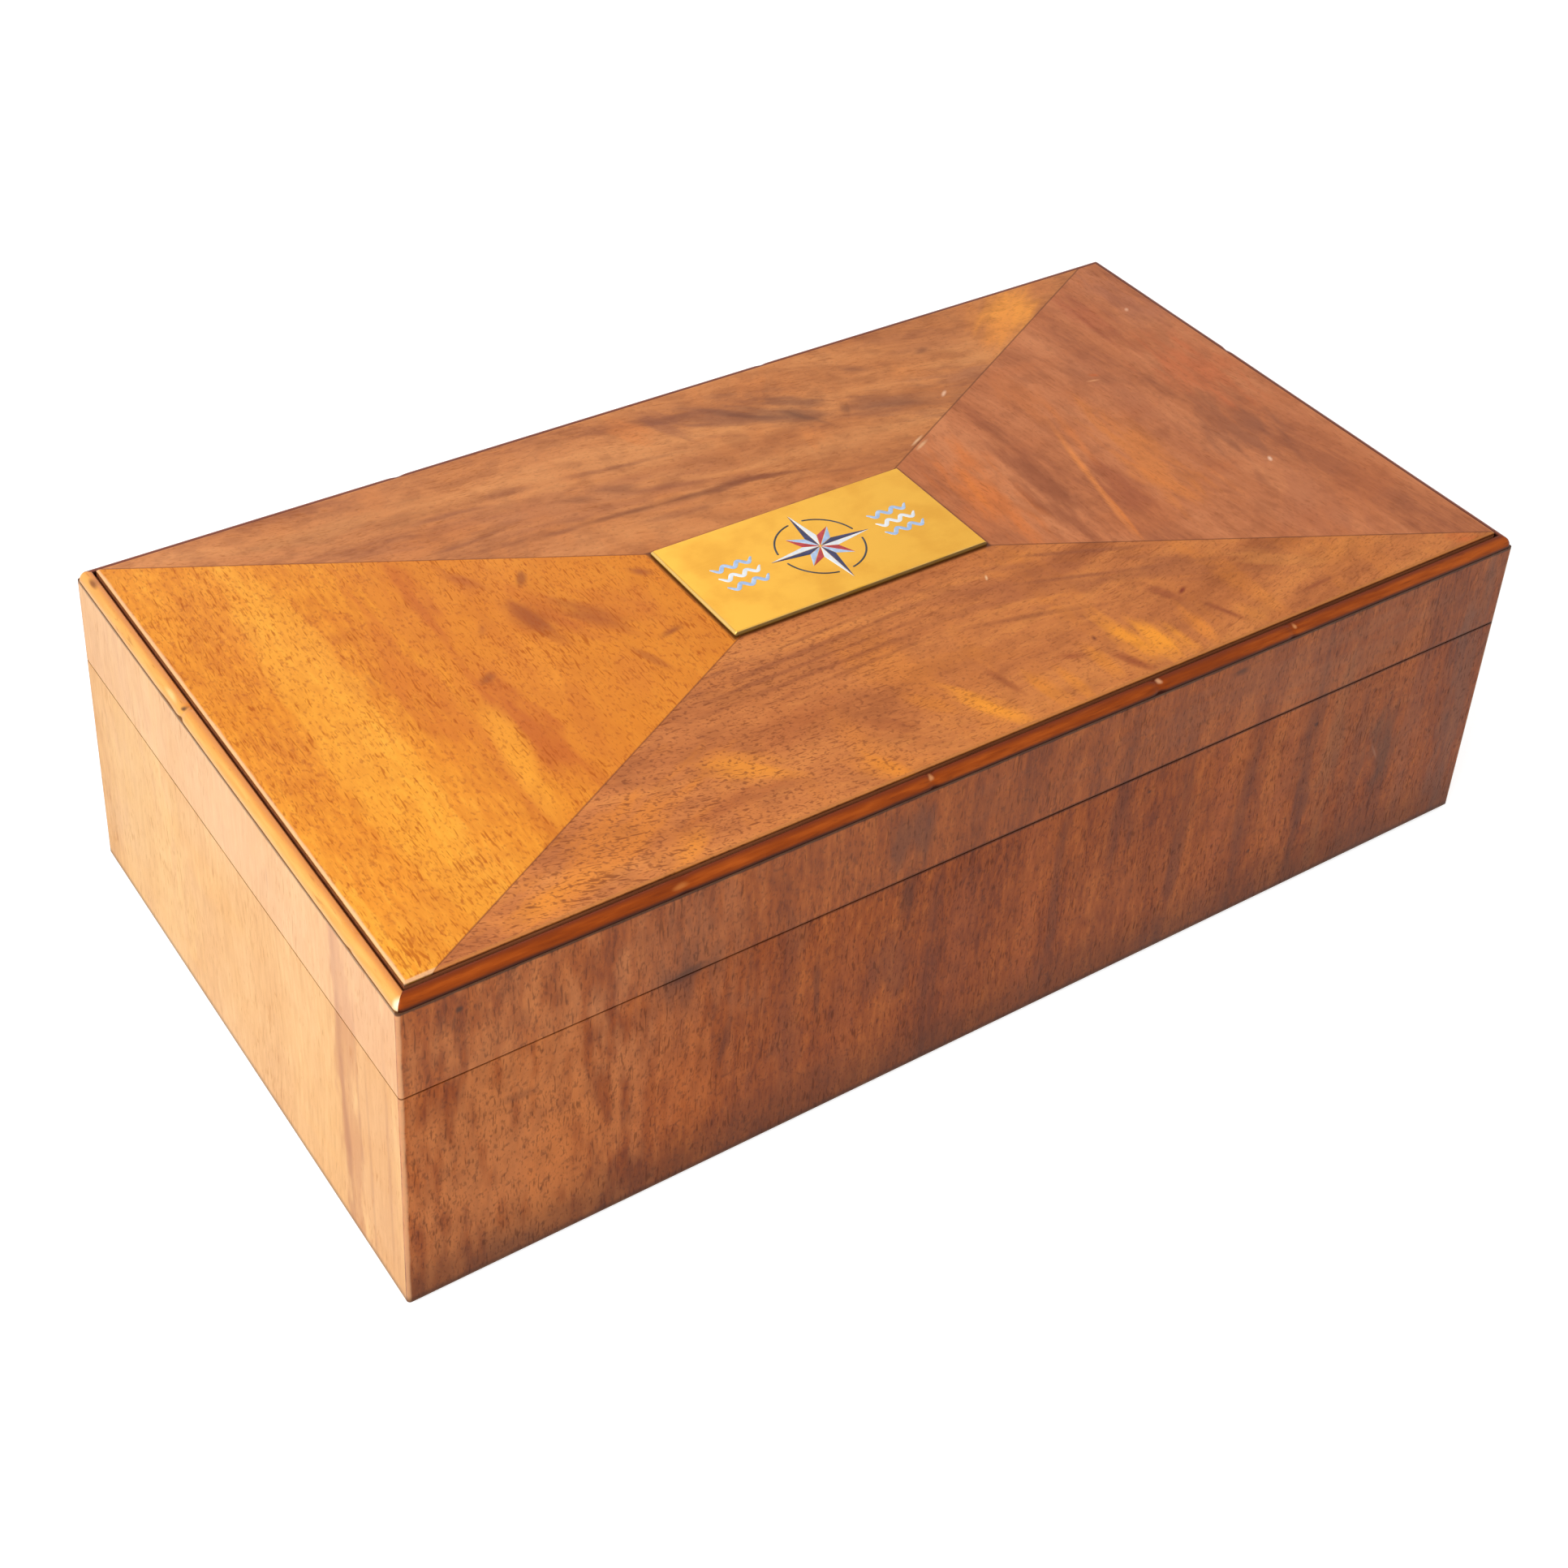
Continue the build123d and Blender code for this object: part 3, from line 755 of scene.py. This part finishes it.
front_leaf = Walnut(
    "walnut_top_front", (0, 1), (0, 0, 0), (0.0, 0.52, 0.9),
    ((170, 94, 46), (192, 111, 57), (204, 121, 62), (220, 136, 68)),
    Fine=0.2, Arch=-1.6, Wander=0.008, Bands=90.0, Stroke=520.0, Openness=0.0,
)
front_leaf.flame(0.45, (220, 130, 50))
front_leaf.patches(
    (-82, -54, 24, 34, 9, 0.6, 226, 132, 42),
    (-30, -28, 2, 36, 8, 0.35, 190, 112, 56),
    (30, -30, -14, 34, 9, 0.5, 168, 94, 56),
    (62, -42, -24, 20, 6, 0.5, 160, 90, 54),
    (-36, -42, 20, 14, 6, 0.4, 180, 96, 48),
    (-57, -54, 4, 12, 2.4, 0.5, 166, 84, 40),
    (-19, -53, -40, 8, 4, 0.5, 158, 80, 40),
    (0, -41, -10, 26, 4, 0.4, 214, 126, 54),
    (78, -48, -32, 16, 5, 0.6, 216, 136, 68),
    (104, -59, -24, 12, 4, 0.5, 206, 122, 62),
    (116, -62, -10, 6, 2.4, 0.7, 220, 110, 48),
    core=0.1,
)
front_leaf.patches(
    (-16, -22, 2, 42, 0.8, 0.5, 150, 82, 46),
    (-22, -25.3, 2, 46, 1.0, 0.6, 150, 80, 44),
    (-20, -28.4, 1, 48, 0.9, 0.6, 150, 80, 44),
    (-22, -31.5, 1, 46, 1.0, 0.6, 148, 78, 42),
    (-18, -34.4, 2, 40, 0.9, 0.5, 150, 80, 42),
    (44, -26, -22, 24, 1.0, 0.5, 142, 78, 48),
    (40, -33, -18, 24, 1.0, 0.5, 142, 78, 48),
    (22, -38, -14, 20, 1.2, 0.5, 148, 80, 44),
    feather=1.6, core=0.0,
)
front_leaf.patches(
    (-50, -47, -38, 13, 5, 0.75, 240, 148, 46),
    (-28, -60, -62, 8, 4, 0.75, 240, 144, 44),
    (-1, -56.5, -64, 12, 4.4, 0.95, 250, 156, 50),
    (-10, -50, -50, 9, 3.4, 0.5, 234, 140, 50),
    (11.5, -57, -84, 9, 2.6, 0.75, 236, 142, 48),
    (17, -58, 90, 8, 2.2, 0.6, 236, 142, 48),
    (26, -55, 90, 9, 2.4, 0.75, 238, 144, 50),
    (34, -52, -82, 13, 3.6, 0.95, 248, 154, 48),
    (40, -57.5, 90, 10, 6.6, 1.0, 252, 158, 50),
    (50, -56.5, 86, 10, 2.6, 0.8, 244, 146, 54),
    (60.5, -59, -80, 8, 3.4, 0.6, 234, 144, 62),
    (-96, -59, 20, 14, 4, 0.6, 242, 148, 44),
    (-68, -60, 30, 9, 3.4, 0.6, 240, 146, 46),
    (67, -57, 80, 7, 2.6, 0.5, 228, 138, 62),
    feather=1.5, core=0.0,
)
front_leaf.patches(
    (31, -59, -62, 7, 1.8, 0.75, 148, 68, 34),
    (21.6, -52, -30, 4, 1.6, 0.6, 154, 74, 38),
    (50, -45.6, -60, 6, 2.4, 0.6, 158, 78, 44),
    (57, -56, -68, 7, 1.2, 0.8, 142, 66, 36),
    (79, -58.6, 4, 8, 1.0, 0.8, 150, 74, 40),
    (29, -49.8, 70, 1.4, 0.8, 0.9, 112, 48, 26),
    (54, -46.6, 30, 2.2, 0.8, 0.9, 128, 44, 24),
    (6, -52, -80, 7, 1.4, 0.6, 154, 76, 38),
    (23, -24, 60, 1.2, 0.4, 0.9, 248, 200, 150),
    feather=1.2, core=0.0,
)
left_half = between(front_leaf.tree, front_leaf.part(0), 0.02, -0.05)
speckled = work(front_leaf.tree, "MAXIMUM", front_leaf.cut["Specks"], front_leaf.cut["Pores"])
front_leaf.lay(times(front_leaf.tree, speckled, left_half), 0.5, (124, 58, 22))

# What all four leaves get last: mottling, specks and pores, a painted shadow round the plate, the two glue
# lines, the pale crisp edge, rubbed and partly a painted highlight, painted shade on the panel's wall down to
# the quirk, and the polish. One glue line runs from corner to corner, and the other ends a little off its
# corners.
centre = (0.0, 0.0, panel_top)
across_true = (panel_half[1], panel_half[0], 0)
across_drifted = (panel_half[1], -0.119, 0)
golden, brown = (168, 74, 8), (120, 58, 28)
for leaf, side, mottle, specks, pores, shade, grime, arris, width in (
    (left_leaf, "left", 0.12, 0.45, 0.6, golden, (150, 72, 24), (240, 190, 144), 0.00055),
    (right_leaf, "right", 0.22, 0.16, 0.25, brown, (84, 42, 22), (216, 160, 116), 0.0004),
    (back_leaf, "back", 0.24, 0.18, 0.25, brown, (100, 52, 26), (224, 166, 118), 0.0004),
    (front_leaf, "front", 0.2, 0.3, 0.35, brown, (96, 48, 22), (200, 128, 70), 0.0004),
):
    for kind, share in (("Mottle", mottle), ("Specks", specks), ("Pores", pores)):
        leaf.lay(leaf.cut[kind], share, shade)
    # A painted shadow round the foot of the plate.
    leaf.fade(leaf.off(plate_half), 0.0009, 0.0001, 0.8, (60, 26, 8))
    for across in (across_drifted, across_true):
        leaf.dark_line(centre, across, 0.00026, 0.6, grime)
    leaf.pale_edges(**top_box, width=width, share=0.75, shade=arris)
    # Painted shade on the panel's wall, from its top edge down to the quirk.
    wall = between(leaf.tree, leaf.off(panel_half), -0.00008, -0.00002)
    low = between(leaf.tree, leaf.part(2), panel_top - 0.00005, panel_top - 0.0009)
    leaf.lay(times(leaf.tree, wall, low), 0.95, (50, 16, 6))
    dress(leaf.polish(shine=0.12), f"top_{side}_veneer")


# Beads round the panel.
# Four lengths of walnut moulding with a rounded ovolo and a quirk behind it, mitred at the
# corners and glued to the top of the rails. Their finishes hold painted light and shade: the ovolo lit
# and shaded across its round, and the quirk and the foot painted dark, shade with some gathered polish.

# Three heights, then three distances in from the side of the box, the radii of the curves and of
# the worn corners, and a point in the heart of the section.
bead_spring, bead_crown, quirk_floor = 0.0705, 0.0726, 0.0716
bead_in, bead_face, quirk_back = 0.0001, 0.0025, 0.003
ovolo, shoulder, worn_corner = 0.0021, 0.0003, 0.0015
heart_in, heart_height = 0.0014, 0.0712


def bead(name, half_length, half_depth, turn, dents, material):
    """A length of bead. Its section is the ovolo, a quarter round about a centre, then the shoulder, the
    quirk's wall and floor, and the foot. It is carried along its side and round the worn corners to the
    mitres, at 45 degrees, and closes there to the heart of the section. The ovolo's radius has a slow wave
    of about a hundredth, and each dent, a place, a depth and a width, shortens it by a bell curve."""
    rise = np.linspace(0, math.pi / 2, 15)
    soft = np.linspace(math.pi / 2, 0, 6)[1:]
    centre_u = bead_in + ovolo
    straight = np.linspace(-1, 1, 401)
    bend = np.linspace(0, math.pi / 4, 7)[1:]
    place = np.concatenate((np.full_like(bend, -1), straight, np.full_like(bend, 1)))[:, None]
    round_by = np.concatenate((-bend[::-1], np.zeros_like(straight), bend))[:, None]
    radius = ovolo * (1 - 0.006 * (1 + np.sin(place * 11 + turn)))
    for where, depth, width in dents:
        radius = radius - depth * np.exp(-(((place * half_length - where) / width) ** 2))
    column = np.ones_like(place)
    quirk = ((bead_face, quirk_floor), (quirk_back, quirk_floor))
    wall = (*quirk, (quirk_back, bead_foot), (bead_in, bead_foot))
    inward = [centre_u - radius * np.cos(rise), column * (centre_u + shoulder * np.cos(soft))]
    height = [bead_spring + radius * np.sin(rise), column * (bead_crown - shoulder + shoulder * np.sin(soft))]
    inward = np.hstack(inward + [column * u for u, _ in wall])
    height = np.hstack(height + [column * z for _, z in wall])
    inward = np.pad(inward, ((1, 1), (0, 0)), constant_values=heart_in)
    height = np.pad(height, ((1, 1), (0, 0)), constant_values=heart_height)
    place, round_by = (np.vstack((line[:1], line, line[-1:])) for line in (place, round_by))
    hold = np.maximum(inward, worn_corner)
    along = place * (half_length - hold) + (hold - inward) * np.sin(round_by)
    out = half_depth - hold + (hold - inward) * np.cos(round_by)
    x = along * math.cos(turn) + out * math.sin(turn)
    y = along * math.sin(turn) - out * math.cos(turn)
    return shell(name, np.stack((x, y, height), axis=-1), material, "lid")


def bead_walnut(name, flat, turn, start, colours, low, high, quirk, foot, shine, knocks=()):
    """The finish of a bead: its pores, painted light and shade towards the foot and over the crown, the
    knocks, a line at the foot that is painted shade with some dirt, and painted shade in the quirk with some
    gathered polish."""
    growth = {"Wander": 0.002, "Stroke": 200.0, "Openness": -0.06}
    made = Walnut(f"walnut_bead_{name}", flat, (0, 0, turn), start, colours, (0.36, 0.5, 0.64), **growth)
    made.lay(made.cut["Pores"], 0.4, (84, 38, 16))
    deep = made.off(box_half)
    made.fade(made.part(2), bead_foot + 0.001, bead_foot + 0.0002, 0.9, low)
    made.fade(deep, -0.0008, -ovolo, 0.9, high)
    made.patches(*knocks, feather=0.8)
    made.dark_line((0, 0, bead_foot), (0, 0, 1), 0.0003, 0.9, foot)
    made.fade(deep, -ovolo, -bead_face, 0.95, quirk)
    return made.polish(0.3, shine)


# Lit and shaded copies of one walnut: the left bead painted pale for the key lamp's light and glare, the rest
# darker in shade.
bead_in_shade = {
    "colours": ((126, 50, 6), (154, 66, 10), (190, 90, 24)), "shine": 0.12,
    "low": (50, 14, 2), "high": (114, 44, 12), "quirk": (36, 10, 2), "foot": (50, 14, 2),
}
bead_in_key_light = {
    "colours": ((228, 158, 78), (240, 174, 92), (248, 192, 116)), "shine": 0.24,
    "low": (224, 168, 104), "high": (206, 122, 46), "quirk": (104, 48, 16), "foot": (100, 60, 30),
}
long_bead = bead_walnut("long", (0, 2), 0, (0.2, 0.6, 0.2), **bead_in_shade, knocks=(
    (-21.4, 72.1, 0, 0.8, 0.4, 0.8, 220, 150, 96),
    (32.1, 72.2, 0, 0.9, 0.4, 0.8, 220, 160, 116),
    (66.5, 72.2, 0, 0.6, 0.4, 0.7, 222, 150, 96),
    (-74, 71.8, 0, 2.2, 0.5, 0.6, 206, 124, 60),
))
right_bead = bead_walnut("right", (1, 2), -90, (0.6, 0.7, 0.4), **bead_in_shade)
left_bead = bead_walnut("left", (1, 2), -90, (0.6, 0.1, 0.2), **bead_in_key_light, knocks=(
    (23, 71.9, 0, 3.5, 0.5, 0.6, 250, 206, 140),
    (18.2, 72.0, 0, 0.9, 0.5, 0.9, 84, 56, 40),
    (61, 72.3, 0, 2.4, 0.4, 0.8, 120, 60, 30),
    (-66.2, 71.7, 0, 1.8, 1.6, 0.95, 255, 236, 196),
))
front_dents = (
    (-0.0214, 0.0003, 0.001), (0.0321, 0.00035, 0.0011), (0.0665, 0.0002, 0.0008), (-0.074, 0.00015, 0.0016),
)
left_dents = ((-0.0182, 0.0003, 0.0008), (-0.024, 0.00012, 0.003), (0.051, 0.00012, 0.001))
for side, half, quarter, material, dents in (
    ("front", box_half, 0, long_bead, front_dents),
    ("right", box_half[::-1], 1, right_bead, ((0.02, 0.0002, 0.001),)),
    ("back", box_half, 2, long_bead, ((0.06, 0.0002, 0.0012), (-0.03, 0.00015, 0.001))),
    ("left", box_half[::-1], 3, left_bead, left_dents),
):
    made = bead(f"{side}_ovolo_bead", *half, quarter * math.pi / 2, dents, material)
    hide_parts(f"{side}_bead")


# Brass plaque.
# A plate of brass with bevelled edges, brushed and lacquered, that lies flat on the middle of
# the lid.

# The heights of the bevel's foot and of the plate's face, and the width of the bevel.
plate_rim, plate_top, bevel = 0.0738, 0.07434, 0.0006

# The lines of the brush, and the tarnish that has come through the lacquer.
brushed, takes, gives = effect("brushed_brass", {"Turn": 0.0}, ("Lines", "Tarnish"))
lying = {"Vector": takes["Place"], "Angle": takes["Turn"]}
lying = node(brushed, "VectorRotate", lying, rotation_type="Z_AXIS")
fill(brushed, gives, {
    "Lines": cloud(brushed, move(brushed, "MULTIPLY", lying, (60, 5200, 5200)), 1, 3),
    "Tarnish": between(brushed, cloud(brushed, takes["Place"], 90, 5), 0.42, 0.7),
})


def brass(name, turn=0.0, colour=tint(240, 184, 86), dull=tint(206, 150, 66), rough=0.3, edges=None):
    """Brass with its brushing turned by degrees, a thin uneven tarnish, and for a plate its edges made paler,
    rubbed and partly a painted highlight, with painted shade along its front and a painted shadow round its
    foot."""
    material, tree, shader, place = finish(name)
    cut = use(tree, brushed, Place=place, Turn=math.radians(turn))
    shade = over(tree, cut["Tarnish"], 0.6, colour, dull)
    roughness = scaled(tree, cut["Lines"], 0.2, rough - 0.1)
    roughness = scaled(tree, cut["Tarnish"], 0.1, roughness)
    if edges:
        # The plate's edges paler: worn lacquer and a painted highlight on the bevels.
        worn = use(tree, rub_and_highlight, Place=place, **edges)["Mask"]
        shade = over(tree, worn, 0.6, shade, tint(255, 222, 150))
        roughness = scaled(tree, worn, -0.08, roughness)
        # Painted shade on the plate's front and a painted shadow round its foot.
        along_front = between(tree, part(tree, place, 1), 0.0005 - plate_half[1], 0.00035 - plate_half[1])
        round_foot = between(tree, part(tree, place, 2), plate_rim + 0.00015, plate_rim)
        painted_plate_shade = work(tree, "MAXIMUM", along_front, round_foot)
        shade = over(tree, painted_plate_shade, 0.85, shade, tint(70, 38, 14))
        roughness = scaled(tree, painted_plate_shade, 0.3, roughness)
    fill(tree, shader, {
        "Base Color": shade,
        "Roughness": roughness,
        "Metallic": 1.0,
        "Normal": bump(tree, 0.25, 0.00001, cut["Lines"]),
    })
    return material


narrow = plate_half[1]
edges = {"Middle": (0.0, 0.0, 0.0737), "Half": (*plate_half, 0.00064), "Width": 0.0005}
gilt = brass("plaque_brass", 0, tint(228, 172, 66), tint(204, 146, 50), 0.34, edges)
steps = (
    (narrow, panel_top), (0.0001, panel_top), (0, panel_top + 0.0001),
    (0, plate_rim), (bevel, plate_top), (narrow, plate_top),
)
plate = shell("brass_plate", rounded_plate(*plate_half, 0.0007, steps), gilt, "lid", crisp=20)
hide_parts("plaque")


# Enamel on the plaque.
# A mariner's star of eight points, each a dark and a light half, inside a broken ring, with waves
# at its sides. Glass enamel is fired into shallow cells in the brass and stands a hair proud.


def enamel(name, deep, thin):
    """Glass enamel, thinner and paler in places, with a slight ripple."""
    material, tree, shader, place = finish(name)
    pool = between(tree, cloud(tree, place, 700, 3), 0.4, 0.7)
    fill(tree, shader, {
        "Base Color": over(tree, pool, 1.0, deep, thin),
        "Roughness": scaled(tree, pool, 0.12, 0.14),
        "Normal": bump(tree, 0.15, 0.00003, cloud(tree, place, 1500, 1)),
    })
    return material


navy = enamel("navy_enamel", tint(26, 28, 78), tint(38, 42, 100))
red = enamel("red_enamel", tint(176, 26, 34), tint(200, 48, 50))
white = enamel("white_enamel", tint(238, 240, 240), tint(222, 228, 236))
sky = enamel("sky_enamel", tint(160, 186, 224), tint(190, 210, 238))
black = enamel("black_enamel", tint(20, 18, 22), tint(36, 32, 36))
cell_floor, cell_top = 0.0743, 0.0744


def star_cell(name, tip, notch, material):
    """Half of one point of the star: the triangle of middle, tip and notch, drawn in by the same width on all
    sides about the middle of the circle that fits in it, and rounded over at the top."""
    corners = np.array(((0.0, 0.0), tip, notch))
    opposite = np.linalg.norm(np.roll(corners, -1, axis=0) - np.roll(corners, 1, axis=0), axis=1)
    hub = opposite @ corners / opposite.sum()
    fit = abs(tip[0] * notch[1] - tip[1] * notch[0]) / opposite.sum()
    share = np.linspace(0, 1, 9)[:-1, None]
    edge = np.concatenate([a + (b - a) * share for a, b in zip(corners, np.roll(corners, -1, axis=0))])
    turn = np.linspace(0, math.pi / 2, 5)
    margin, round_in, round_down = 0.00004, 0.0001, 0.00006
    inset = np.concatenate(((fit, margin), margin + round_in * (1 - np.cos(turn)), (fit,)))
    top = cell_top - round_down * (1 - np.sin(turn))
    height = np.concatenate(((cell_floor, cell_floor), top, (cell_top,)))
    flat = hub + (edge - hub) * (1 - inset / fit)[:, None, None]
    rings = np.concatenate((flat, np.broadcast_to(height[:, None, None], (*flat.shape[:2], 1))), axis=-1)
    return shell(name, rings, material, "lid")


def enamel_line(name, path, half_width, material):
    """A line of enamel along a path on the plate: at each point a low half round, flat below, as wide as the
    line is there, drawn in to nothing at both ends."""
    along = np.gradient(path, axis=0)
    along /= np.linalg.norm(along, axis=1)[:, None]
    aside = np.stack((-along[:, 1], along[:, 0]), axis=-1)
    turn = np.linspace(0, math.pi, 9)
    wide = np.concatenate((np.cos(turn), (0.0,)))
    high = np.concatenate((cell_floor + (cell_top - cell_floor) * np.sin(turn) ** 0.5, (cell_floor,)))
    flat = path[:, None] + aside[:, None] * (half_width[:, None] * wide)[..., None]
    rings = np.concatenate((flat, np.broadcast_to(high[None, :, None], (*flat.shape[:2], 1))), axis=-1)
    rings[0] = (*path[0], cell_floor)
    rings[-1] = (*path[-1], cell_floor)
    return shell(name, rings, material, "lid", crisp=80)


def spot(radius, degrees):
    """A point on the plate at a radius and a bearing from its middle."""
    return radius * np.stack((np.cos(np.radians(degrees)), np.sin(np.radians(degrees))), axis=-1)


# How far the long points, the short points, the notches and the ring are from the middle, and the
# degrees that the ring leaves free on each side of a long point.
long_point, short_point, notch, ring, ring_gap = 0.0122, 0.0072, 0.0037, 0.0091, 9
for step in range(8):
    bearing = 45 * step
    length, dark, light = (long_point, navy, white) if step % 2 == 0 else (short_point, red, sky)
    star_cell(f"star_dark_{step}", spot(length, bearing), spot(notch, bearing + 22.5), dark)
    star_cell(f"star_light_{step}", spot(length, bearing), spot(notch, bearing - 22.5), light)
for step in range(4):
    arc = spot(ring, np.linspace(90 * step + ring_gap, 90 * step + 90 - ring_gap, 40))
    enamel_line(f"star_ring_{step}", arc, np.full(len(arc), 0.00022), black)

# Where a wave starts, its length and its height, the pitch of its rows, and half its line's width.
wave_start, wave_length, wave_height, wave_pitch, wave_half = 0.0138, 0.0098, 0.0007, 0.0032, 0.0005
for side, hand in ((-1, "left"), (1, "right")):
    for row, level, material in ((-1, "low", sky), (0, "middle", white), (1, "high", sky)):
        run = np.linspace(0, 1, 60)
        crest = wave_pitch * row + wave_height * np.cos(run * 6 * math.pi)
        wave = np.column_stack((side * (wave_start + wave_length * run), crest))
        taper = wave_half * np.minimum(1, 6 * np.minimum(run, 1 - run)) ** 0.5
        enamel_line(f"wave_{hand}_{level}", wave, taper, material)


# Hinges.
# Two stopped brass butts let into the back walls, each two leaves that meet on their heels when
# the lid stands open, with a plain pin through their knuckles.

dress(brass("hinge_brass", rough=0.26), *(name for name in cad_nodes if name.endswith(("_leaf", "_pin"))))


# Hinge screws.
# Eight countersunk brass screws with a sawn slot and a cut thread, two to a leaf, driven up into
# the lid and down into the body.

screw_brass = brass("screw_brass", 90, tint(222, 172, 90), tint(176, 124, 60), 0.28)

# Three radii, three heights below the face of the head, and the slot and the thread.
head, cone_foot, shank = 0.0019, 0.001, 0.00095
neck, shank_end, tip_end = -0.0012, -0.0024, -0.009
slot_half, slot_depth, pitch = 0.0003, 0.0005, 0.0009
thread_fade, point_length = 0.002, 0.0022


def screw(place, turn, up):
    """Rings of one screw. The face is rows of chords across the head, those of the slot sunk and reaching
    only to the cone at their depth; then the cone, the shank, a thread whose ridge climbs once round in a
    pitch, and the point."""
    sunk = head + (head - cone_foot) * slot_depth / neck
    swing = np.arcsin(np.linspace(-1, -slot_half / head, 7))
    row_y = np.concatenate((head * np.sin(swing), (-slot_half, slot_half), -head * np.sin(swing[::-1])))
    row_x = np.sqrt(np.maximum(head**2 - row_y**2, 0))
    row_x[7:9] = math.sqrt(sunk**2 - slot_half**2)
    row_z = np.zeros(16)
    row_z[7:9] = -slot_depth
    flat = np.column_stack((np.concatenate((row_x, -row_x[::-1])), np.concatenate((row_y, row_y[::-1]))))
    deep = np.concatenate((row_z, row_z[::-1]))
    round_by = np.arctan2(flat[:, 1], flat[:, 0])
    climb = np.arange(shank_end, tip_end, -pitch / 6)
    height = np.concatenate(((-slot_depth, neck, shank_end), climb, (tip_end,)))
    thread = np.abs((height[:, None] / pitch + round_by / (2 * math.pi)) % 1 * 2 - 1)
    fade = np.clip((shank_end - height) / pitch, 0, 1) * np.clip((height - tip_end) / thread_fade, 0, 1)
    point = np.clip((height - tip_end) / point_length, 0, 1)[:, None] ** 0.7
    radius = shank * point * (1 - 0.22 * thread * fade[:, None])
    radius[0], radius[1] = sunk, shank
    level = np.broadcast_to(height[:, None], radius.shape)
    body = np.stack((radius * np.cos(round_by), radius * np.sin(round_by), level), axis=-1)
    face = np.stack([np.column_stack((flat * (across, 1), deep)) for across in (0, 1)])
    sine, cosine = math.sin(turn), math.cos(turn)
    spin = np.array(((cosine, sine, 0), (-sine, cosine, 0), (0, 0, -up)))
    return np.concatenate((face, body)) @ spin + place


screw_row, screw_spots = 0.0629, (-0.087, -0.073, 0.073, 0.087)
for up, body, height in ((-1, "body", 0.05105), (1, "lid", 0.05135)):
    for step, x in enumerate(screw_spots):
        rings = screw((x, screw_row, height), 0.5 + 1.1 * step + up, up)
        made = shell(f"{body}_screw_{step}", rings, screw_brass, body)
        if step == 0:
            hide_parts(f"{body}_hinge_screws")


# Table, lamps and camera.
# The box stands on a pale table under one large soft lamp on its left and a weaker one behind it,
# seen from its front left corner as in the photograph.

table_half = 3.0
corners = [(x * table_half, y * table_half, 0.0) for x, y in ((-1, -1), (1, -1), (1, 1), (-1, 1))]
floor = bpy.data.objects.new("table_top", bpy.data.meshes.new("table_top"))
floor.data.from_pydata(corners, [], [(0, 1, 2, 3)])
bpy.context.scene.collection.objects.link(floor)


def seen(tree):
    """1 where the camera, a reflection or glass looks, and 0 for light on its way."""
    rays = tree.nodes.new("ShaderNodeLightPath").outputs
    straight = work(tree, "MAXIMUM", rays["Is Camera Ray"], rays["Is Glossy Ray"])
    return work(tree, "MAXIMUM", straight, rays["Is Transmission Ray"])


white_light = (1, 1, 1, 1)
pale, tree, shader, _ = finish("pale_table")
fill(tree, shader, {
    "Base Color": (0.6, 0.6, 0.6, 1),
    "Roughness": 0.9,
    "Specular IOR Level": 0.0,
    "Emission Color": white_light,
    "Emission Strength": times(tree, seen(tree), 0.72),
})
floor.data.materials.append(pale)

world = bpy.data.worlds.new("studio")
world.use_nodes = True
bpy.context.scene.world = world
tree = world.node_tree
glow = scaled(tree, seen(tree), 0.55, 0.45)
fill(tree, tree.nodes["Background"], {"Color": white_light, "Strength": glow})


def soft_lamp(name, place, aim, power, size):
    """A square studio lamp at a place, turned to face a point."""
    lamp = bpy.data.objects.new(name, bpy.data.lights.new(name, "AREA"))
    lamp.data.energy = power
    lamp.data.size = size
    lamp.location = place
    lamp.rotation_euler = (Vector(aim) - Vector(place)).to_track_quat("-Z", "Y").to_euler()
    bpy.context.scene.collection.objects.link(lamp)


box_middle = (0, 0, 0.04)
soft_lamp("key_lamp", (-0.66, -0.28, 0.54), box_middle, power=6.0, size=0.5)
soft_lamp("back_lamp", (0.1, 0.9, 0.9), box_middle, power=3.0, size=0.8)

azimuth, elevation, roll = (math.radians(t) for t in (-36.1176, 33.6461, 3.6657))
camera_place = (-0.25201, -0.33152, 0.36964)
level = math.cos(elevation)
towards = Vector((math.sin(azimuth) * level, -math.cos(azimuth) * level, math.sin(elevation)))
right = Vector((math.cos(azimuth), math.sin(azimuth), 0))
up = towards.cross(right)
across = math.cos(roll) * right + math.sin(roll) * up
upright = math.cos(roll) * up - math.sin(roll) * right
camera = bpy.data.objects.new("camera", bpy.data.cameras.new("camera"))
facing = Matrix((across, upright, towards)).transposed().to_4x4()
camera.matrix_world = Matrix.Translation(camera_place) @ facing
camera.data.lens = 59.379
camera.data.sensor_width = 36
camera.data.shift_y = -0.2024
bpy.context.scene.collection.objects.link(camera)
bpy.context.scene.camera = camera
bpy.context.scene.view_settings.view_transform = "Standard"
